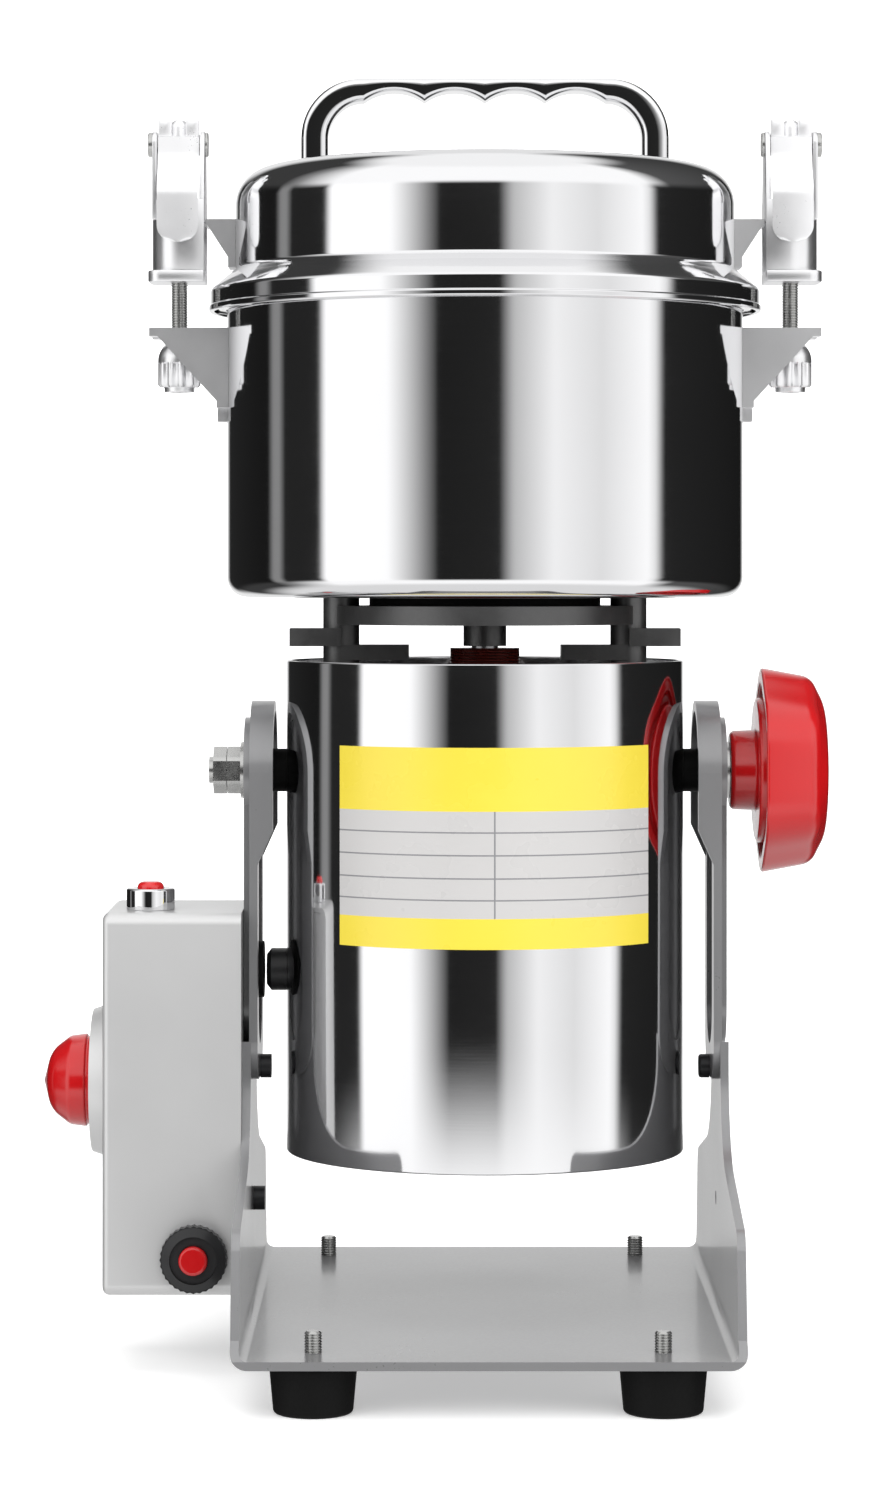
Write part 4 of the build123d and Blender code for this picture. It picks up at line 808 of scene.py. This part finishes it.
# four feet with their studs; the foot is spun from (radius, height, round)
thread = {"radius": 2.5, "pitch": 0.8, "depth": 0.32, "steps": 32}
feet = {"x": 49.5, "y": 87.0, "studLow": 5.8, "studHigh": 23.0, "steps": 64,
        "sole": [(0, 0.7), (6.0, 0.7, 0.4), (6.8, 0.0, 0.3), (11.3, 0.0, 1.2)],
        "side": [(12.5, 13.2, 0.5), (12.5, 14.1, 0.3), (12.0, 14.49)],
        "bore": [(2.6, 14.49), (2.6, 5.7), (0, 5.7)]}
places = [(feet["x"] * a, feet["y"] * b) for a, b in ((-1, -1), (1, -1), (1, 1), (-1, 1))]
studProfile = threadProfile(thread["radius"], feet["studLow"], feet["studHigh"], thread["pitch"],
                            thread["depth"])
studs = merged(*[spun(studProfile, thread["steps"], "Z", (x, y, 0)) for x, y in places])
studPiece = addPiece("threadedStuds", studs, "stand", "zinc_steel", 30)
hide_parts("foot_studs")
footProfile = soften(feet["sole"] + feet["side"] + feet["bore"], 6)
footMesh = merged(*[spun(footProfile, feet["steps"], "Z", (x, y, 0)) for x, y in places])
footPiece = addPiece("mouldedFeet", footMesh, "stand", "black_rubber", 40)
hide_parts("rubber_feet")
print("feet: rubber and studs done")

# toggle latches: every size of the right one, which the left one mirrors
latch = {
    "x": 92.5, "pivot": 301.5, "pin": 367.0,
    # adjusting nut
    "nut": 6.5, "nutLow": 294.2, "nutFoot": 292.0, "collar": 4.5, "nutBore": 2.6,
    "flutes": 11, "flute": 1.1, "fluteFrom": 4.8, "domeReach": 66.0, "domeSteps": 12,
    # threaded rod and its hexagon head
    "rodLow": 292.5, "rodHigh": 334.55, "headLow": 328.55, "headHigh": 332.55, "flats": 8.0,
    # lever: its tongue runs from the pin down its front
    "left": 86.4, "right": 98.8, "barrel": 3.4, "bore": 2.06, "end": 337.0, "sheet": 1.6,
    "tip": 5.0, "swell": 0.35,
    "tongue": [(-3.9, 369.2), (-4.6, 361.2, 9.0), (-10.4, 354.4, 9.0)], "tongueEnd": -10.4,
    # the lever's prongs and the acorn nut between them
    "prong": 4.1, "prongFoot": 2.2, "prongTop": 375.0, "prongFront": -3.4, "prongBack": -1.3,
    "acorn": 2.7, "acornLow": 2.4, "acornHigh": 7.7,
    # folded housing
    "inner": 84.6, "outer": 100.6, "foot": 325.0, "footTop": 328.5, "bodyTop": 350.0,
    "depth": 9.0, "wall": 1.5, "overhang": 1.0, "footRound": 4.0, "shoulder": 6.0,
    "outerCheek": 4.6, "innerCheek": 8.2, "ear": 4.4, "earTop": 3.9, "earRound": 3.6,
    # the post in the housing; its top is (radius, height over the body's top, round)
    "post": 96.2, "postLow": 6.0, "postRadius": 3.7,
    "postTop": [(3.7, -1.2, 0.2), (4.2, -0.9, 0.2), (4.2, 1.6, 0.3), (3.6, 2.0, 0.3),
                (1.9, 7.2, 0.3), (1.5, 7.9, 0.4), (2.3, 9.4, 1.2), (1.4, 11.2, 0.8), (0, 11.4)],
    # pin heads
    "pinHead": 3.7, "innerHead": 0.9, "outerHead": 1.35, "seat": 0.05,
}


def fluted(spot):
    x, y = spot.x - latch["x"], spot.y
    reach = hypot(x, y)
    if reach < latch["fluteFrom"] or spot.z > latch["pivot"] - 0.8:
        return spot
    wave = (1 - cos(latch["flutes"] * atan2(y, x))) / 2
    factor = (reach - latch["flute"] * wave) / reach
    return latch["x"] + x * factor, y * factor, spot.z


def nutMesh():
    reach, pivot, steps = latch["nut"], latch["pivot"], latch["domeSteps"]
    angles = [radians(latch["domeReach"]) * (1 - step / steps) for step in range(steps + 1)]
    dome = [Vector((reach * cos(a), pivot + reach * sin(a))) for a in angles]
    skirt = soften([
        (reach, pivot - 0.6), (reach, pivot - 1.0, 0), (reach, latch["nutLow"], 0),
        (reach - 0.7, latch["nutLow"] - 0.7, 0), (4.6, latch["nutLow"] - 0.7, 0.2),
        (latch["collar"], latch["nutFoot"], 0.3), (latch["nutBore"], latch["nutFoot"]),
    ], 4)
    return moved(spun(dome + skirt, 132, "Z", (latch["x"], 0, 0), True), fluted)


def rodMesh():
    profile = threadProfile(thread["radius"], latch["rodLow"], latch["rodHigh"], thread["pitch"],
                            thread["depth"])
    rod = spun(profile, thread["steps"], "Z", (latch["x"], 0, 0))
    outline = hexOutline(latch["flats"], latch["x"], 0)
    return merged(rod, plate(outline, "XY", latch["headLow"], latch["headHigh"], 0.35))


tonguePath = soften(latch["tongue"] + [(latch["tongueEnd"], latch["end"])], 14)


# a point at a share of the tongue's length, and the length left below it
def alongPath(share):
    lengths = [0.0]
    for first, second in zip(tonguePath, tonguePath[1:]):
        lengths.append(lengths[-1] + (second - first).length)
    target = share * lengths[-1]
    for number in range(1, len(lengths)):
        if target <= lengths[number] or number == len(lengths) - 1:
            part = (target - lengths[number - 1]) / (lengths[number] - lengths[number - 1])
            spot = tonguePath[number - 1].lerp(tonguePath[number], part)
            return spot, lengths[-1] - target


def onTongue(spot):
    place, left = alongPath((1 - spot.y) / 2)
    half, tip = (latch["right"] - latch["left"]) / 2, latch["tip"]
    width = half
    if left <= tip:
        width = half - tip + sqrt(max(0.0, tip**2 - (tip - left) ** 2))
    swell = latch["swell"] * (1 - spot.x**2)
    return latch["left"] + half + spot.x * width, place.x - swell + latch["swell"], place.y


def leverMesh():
    pin = latch["pin"]
    tongue = bmesh.new()
    bmesh.ops.create_grid(tongue, x_segments=14, y_segments=44, size=1)
    thickened(moved(tongue, onTongue), latch["sheet"])
    barrel = spun(soften([
        (latch["bore"], latch["left"]), (latch["barrel"], latch["left"], 0.4),
        (latch["barrel"], latch["right"], 0.4), (latch["bore"], latch["right"]),
    ], 4), 48, "X", (0, 0, pin), True)
    prongs = []
    for low in (latch["left"], latch["right"] - latch["prong"]):
        foot, top, high = pin + latch["prongFoot"], latch["prongTop"], low + latch["prong"]
        outline = soften([(low + 2, foot), (high, foot), (high, top, 1.2), (low, top, 1.2),
                          (low, foot), (low + 2, foot)], 5)[:-1]
        prongs.append(plate(outline, "XZ", latch["prongFront"], latch["prongBack"], 0.35))
    middle = (latch["left"] + latch["right"]) / 2
    low, high, radius = pin + latch["acornLow"], pin + latch["acornHigh"], latch["acorn"]
    acornProfile = soften([(0, low), (radius, low), (radius, high, 2.5), (0, high)], 8)
    acorn = spun(acornProfile, 40, "Z", (middle, 0, 0))
    return merged(tongue, barrel, acorn, *prongs)


# half a circle from the front to the back, round the housing's outer fold
def bend(radius, steps=14):
    middle = latch["outer"] - latch["depth"]
    angles = [-pi / 2 + pi * step / steps for step in range(steps + 1)]
    return [(middle + radius * cos(a), radius * sin(a)) for a in angles]


def cheekMesh(start, half):
    high, pin, ear = latch["bodyTop"], latch["pin"], latch["ear"]
    low, top = high - latch["shoulder"], pin + latch["earTop"]
    outline = soften([
        (0, low), (half, low), (half, high, 3.0), (ear, top, latch["earRound"]),
        (-ear, top, latch["earRound"]), (-half, high, 3.0), (-half, low), (0, low),
    ], 6)[:-1]
    return plate(outline, "YZ", start, start + latch["wall"], 0.35)


def postMesh():
    low, radius = latch["footTop"] + latch["postLow"], latch["postRadius"]
    profile = [(0, low), (radius, low)]
    for point in latch["postTop"]:
        profile.append((point[0], latch["bodyTop"] + point[1], *point[2:]))
    return spun(soften(profile, 6), 48, "Z", (latch["post"], 0, 0))


def housingMesh():
    depth, wall, inner, outer = latch["depth"], latch["wall"], latch["inner"], latch["outer"]
    low, high, corner = latch["footTop"], latch["bodyTop"], latch["footRound"]
    footEnd, footHalf = outer + latch["overhang"], depth + latch["overhang"]
    foot = plate(soften([
        (inner, 0), (inner, -footHalf), (footEnd, -footHalf, corner), (footEnd, footHalf, corner),
        (inner, footHalf), (inner, 0),
    ], 6)[:-1], "XY", latch["foot"], low, 0.45)
    fold = [(inner, -depth)] + bend(depth) + [(inner, depth), (inner, depth - wall)]
    fold += bend(depth - wall)[::-1] + [(inner, wall - depth)]
    walls = plate(fold, "XY", low - 0.2, high, 0.3)
    innerCheek = cheekMesh(inner, latch["innerCheek"])
    outerCheek = cheekMesh(outer - wall, latch["outerCheek"])
    return merged(foot, walls, postMesh(), innerCheek, outerCheek)


def pinHeadMesh():
    radius, seat, heads = latch["pinHead"], latch["seat"], []
    for start, end in ((latch["inner"] - seat, latch["inner"] - latch["innerHead"]),
                       (latch["outer"] + seat, latch["outer"] + latch["outerHead"])):
        profile = soften([(0, start), (radius, start), (radius, end, 0.35), (0, end)], 5)
        heads.append(spun(profile, 40, "X", (0, 0, latch["pin"])))
    return merged(*heads)


sides = (("right", False), ("left", True))
for side, mirrored in sides:
    housing = addPiece(side + "FoldedHousing", housingMesh(), side + "_latch", "satin_steel", 35,
                       mirrored=mirrored)
    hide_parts(side + "_latch_body")
    addPiece(side + "PinHeads", pinHeadMesh(), side + "_latch", "zinc_steel", 35, mirrored=mirrored)
    rodPiece = addPiece(side + "ThreadedRod", rodMesh(), side + "_latch", "zinc_steel", 30,
                        mirrored=mirrored)
    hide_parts(side + "_latch_rod")
    nutPiece = addPiece(side + "FlutedNut", nutMesh(), side + "_latch_nut", "satin_steel", 45,
                        mirrored=mirrored)
    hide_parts(side + "_latch_nut")
    # the lever takes the brightened copy, a painted highlight, in place of the satin steel
    leverPiece = addPiece(side + "Lever", leverMesh(), side + "_lever", "satin_steel", 40,
                          finish["lever_painted_highlight"], mirrored)
    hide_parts(side + "_latch_lever")
    print(side, "latch: housing, pin, rod, nut and lever done")

# a black disc nearly flush in the right arm's spare hole: painted shade standing in for the dark inside
# of the hole
holeShade = {"face": 67.95, "depth": 3.3, "radius": 3.6, "round": 0.9, "height": 88.0}
holeShadeEnd = holeShade["face"] - holeShade["depth"]
holeShadeProfile = soften([(0, holeShade["face"]), (holeShade["radius"], holeShade["face"]),
                      (holeShade["radius"], holeShadeEnd, holeShade["round"]), (0, holeShadeEnd)], 6)
holeShadeMesh = spun(holeShadeProfile, 40, "X", (0, 0, holeShade["height"]))
addPiece("armHoleShade", holeShadeMesh, "stand", "black_steel", 40)

# rivets through the bowl's brackets
rivet = {"root": 79.9, "face": 80.75, "radius": 2.3, "spots": ((-5.2, 300.5), (5.2, 300.5))}
rivetProfile = soften([
    (0, rivet["root"]), (rivet["radius"], rivet["root"]),
    (rivet["radius"], rivet["face"] + 0.4, 0.3), (1.4, rivet["face"] + 1.1, 0.6),
    (0, rivet["face"] + 1.2),
], 5)
for side, mirrored in sides:
    domes = [spun(rivetProfile, 32, "X", (0, y, z)) for y, z in rivet["spots"]]
    addPiece(side + "BracketRivets", merged(*domes), "head", "zinc_steel", 40, mirrored=mirrored)
print("small parts: plug and rivets done")

# floor and backdrop: one pale sweep, seen by the camera only, in metres
sweep = {"corner": 2.5, "wall": 6.5, "height": 9.0,
         "pale": ((0.83, 0.83, 0.83, 1), (0.87, 0.87, 0.87, 1)),
         "glowNear": 0.25, "glowFar": 1.1, "glowLow": 0.32, "glowHigh": 1.0}


def sweepFinish():
    material, graph, shader = finishBase("paleFloor")
    coord = graph.add("TexCoord").outputs["Object"]
    soft = graph.noise(coord, 3.0, 3.0)
    graph.join(graph.blend(soft, *sweep["pale"]), shader.inputs["Base Color"])
    shader.inputs["Roughness"].default_value = 0.9
    shader.inputs["Specular IOR Level"].default_value = 0.0
    shader.inputs["Emission Color"].default_value = (1, 1, 1, 1)
    length = graph.add("VectorMath", operation="LENGTH")
    graph.join(coord, length.inputs[0])
    glow = graph.remap(length.outputs["Value"], sweep["glowNear"], sweep["glowFar"],
                       sweep["glowLow"], sweep["glowHigh"], True)
    graph.join(glow, shader.inputs["Emission Strength"])
    return material


def buildSweep():
    wall = sweep["wall"]
    profile = soften([(0, 0), (wall, 0, sweep["corner"]), (wall, sweep["height"])], 24)
    bm = spun(profile, 96)
    bmesh.ops.recalc_face_normals(bm, faces=bm.faces)
    bmesh.ops.reverse_faces(bm, faces=bm.faces)
    mesh = bpy.data.meshes.new("paleSweep")
    bm.to_mesh(mesh)
    bm.free()
    mesh.polygons.foreach_set("use_smooth", [True] * len(mesh.polygons))
    mesh.materials.append(sweepFinish())
    piece = bpy.data.objects.new("paleSweep", mesh)
    scene.collection.objects.link(piece)
    piece.visible_glossy = False
    piece.visible_diffuse = False
    piece.visible_shadow = False


buildSweep()
print("sweep: floor and backdrop done")
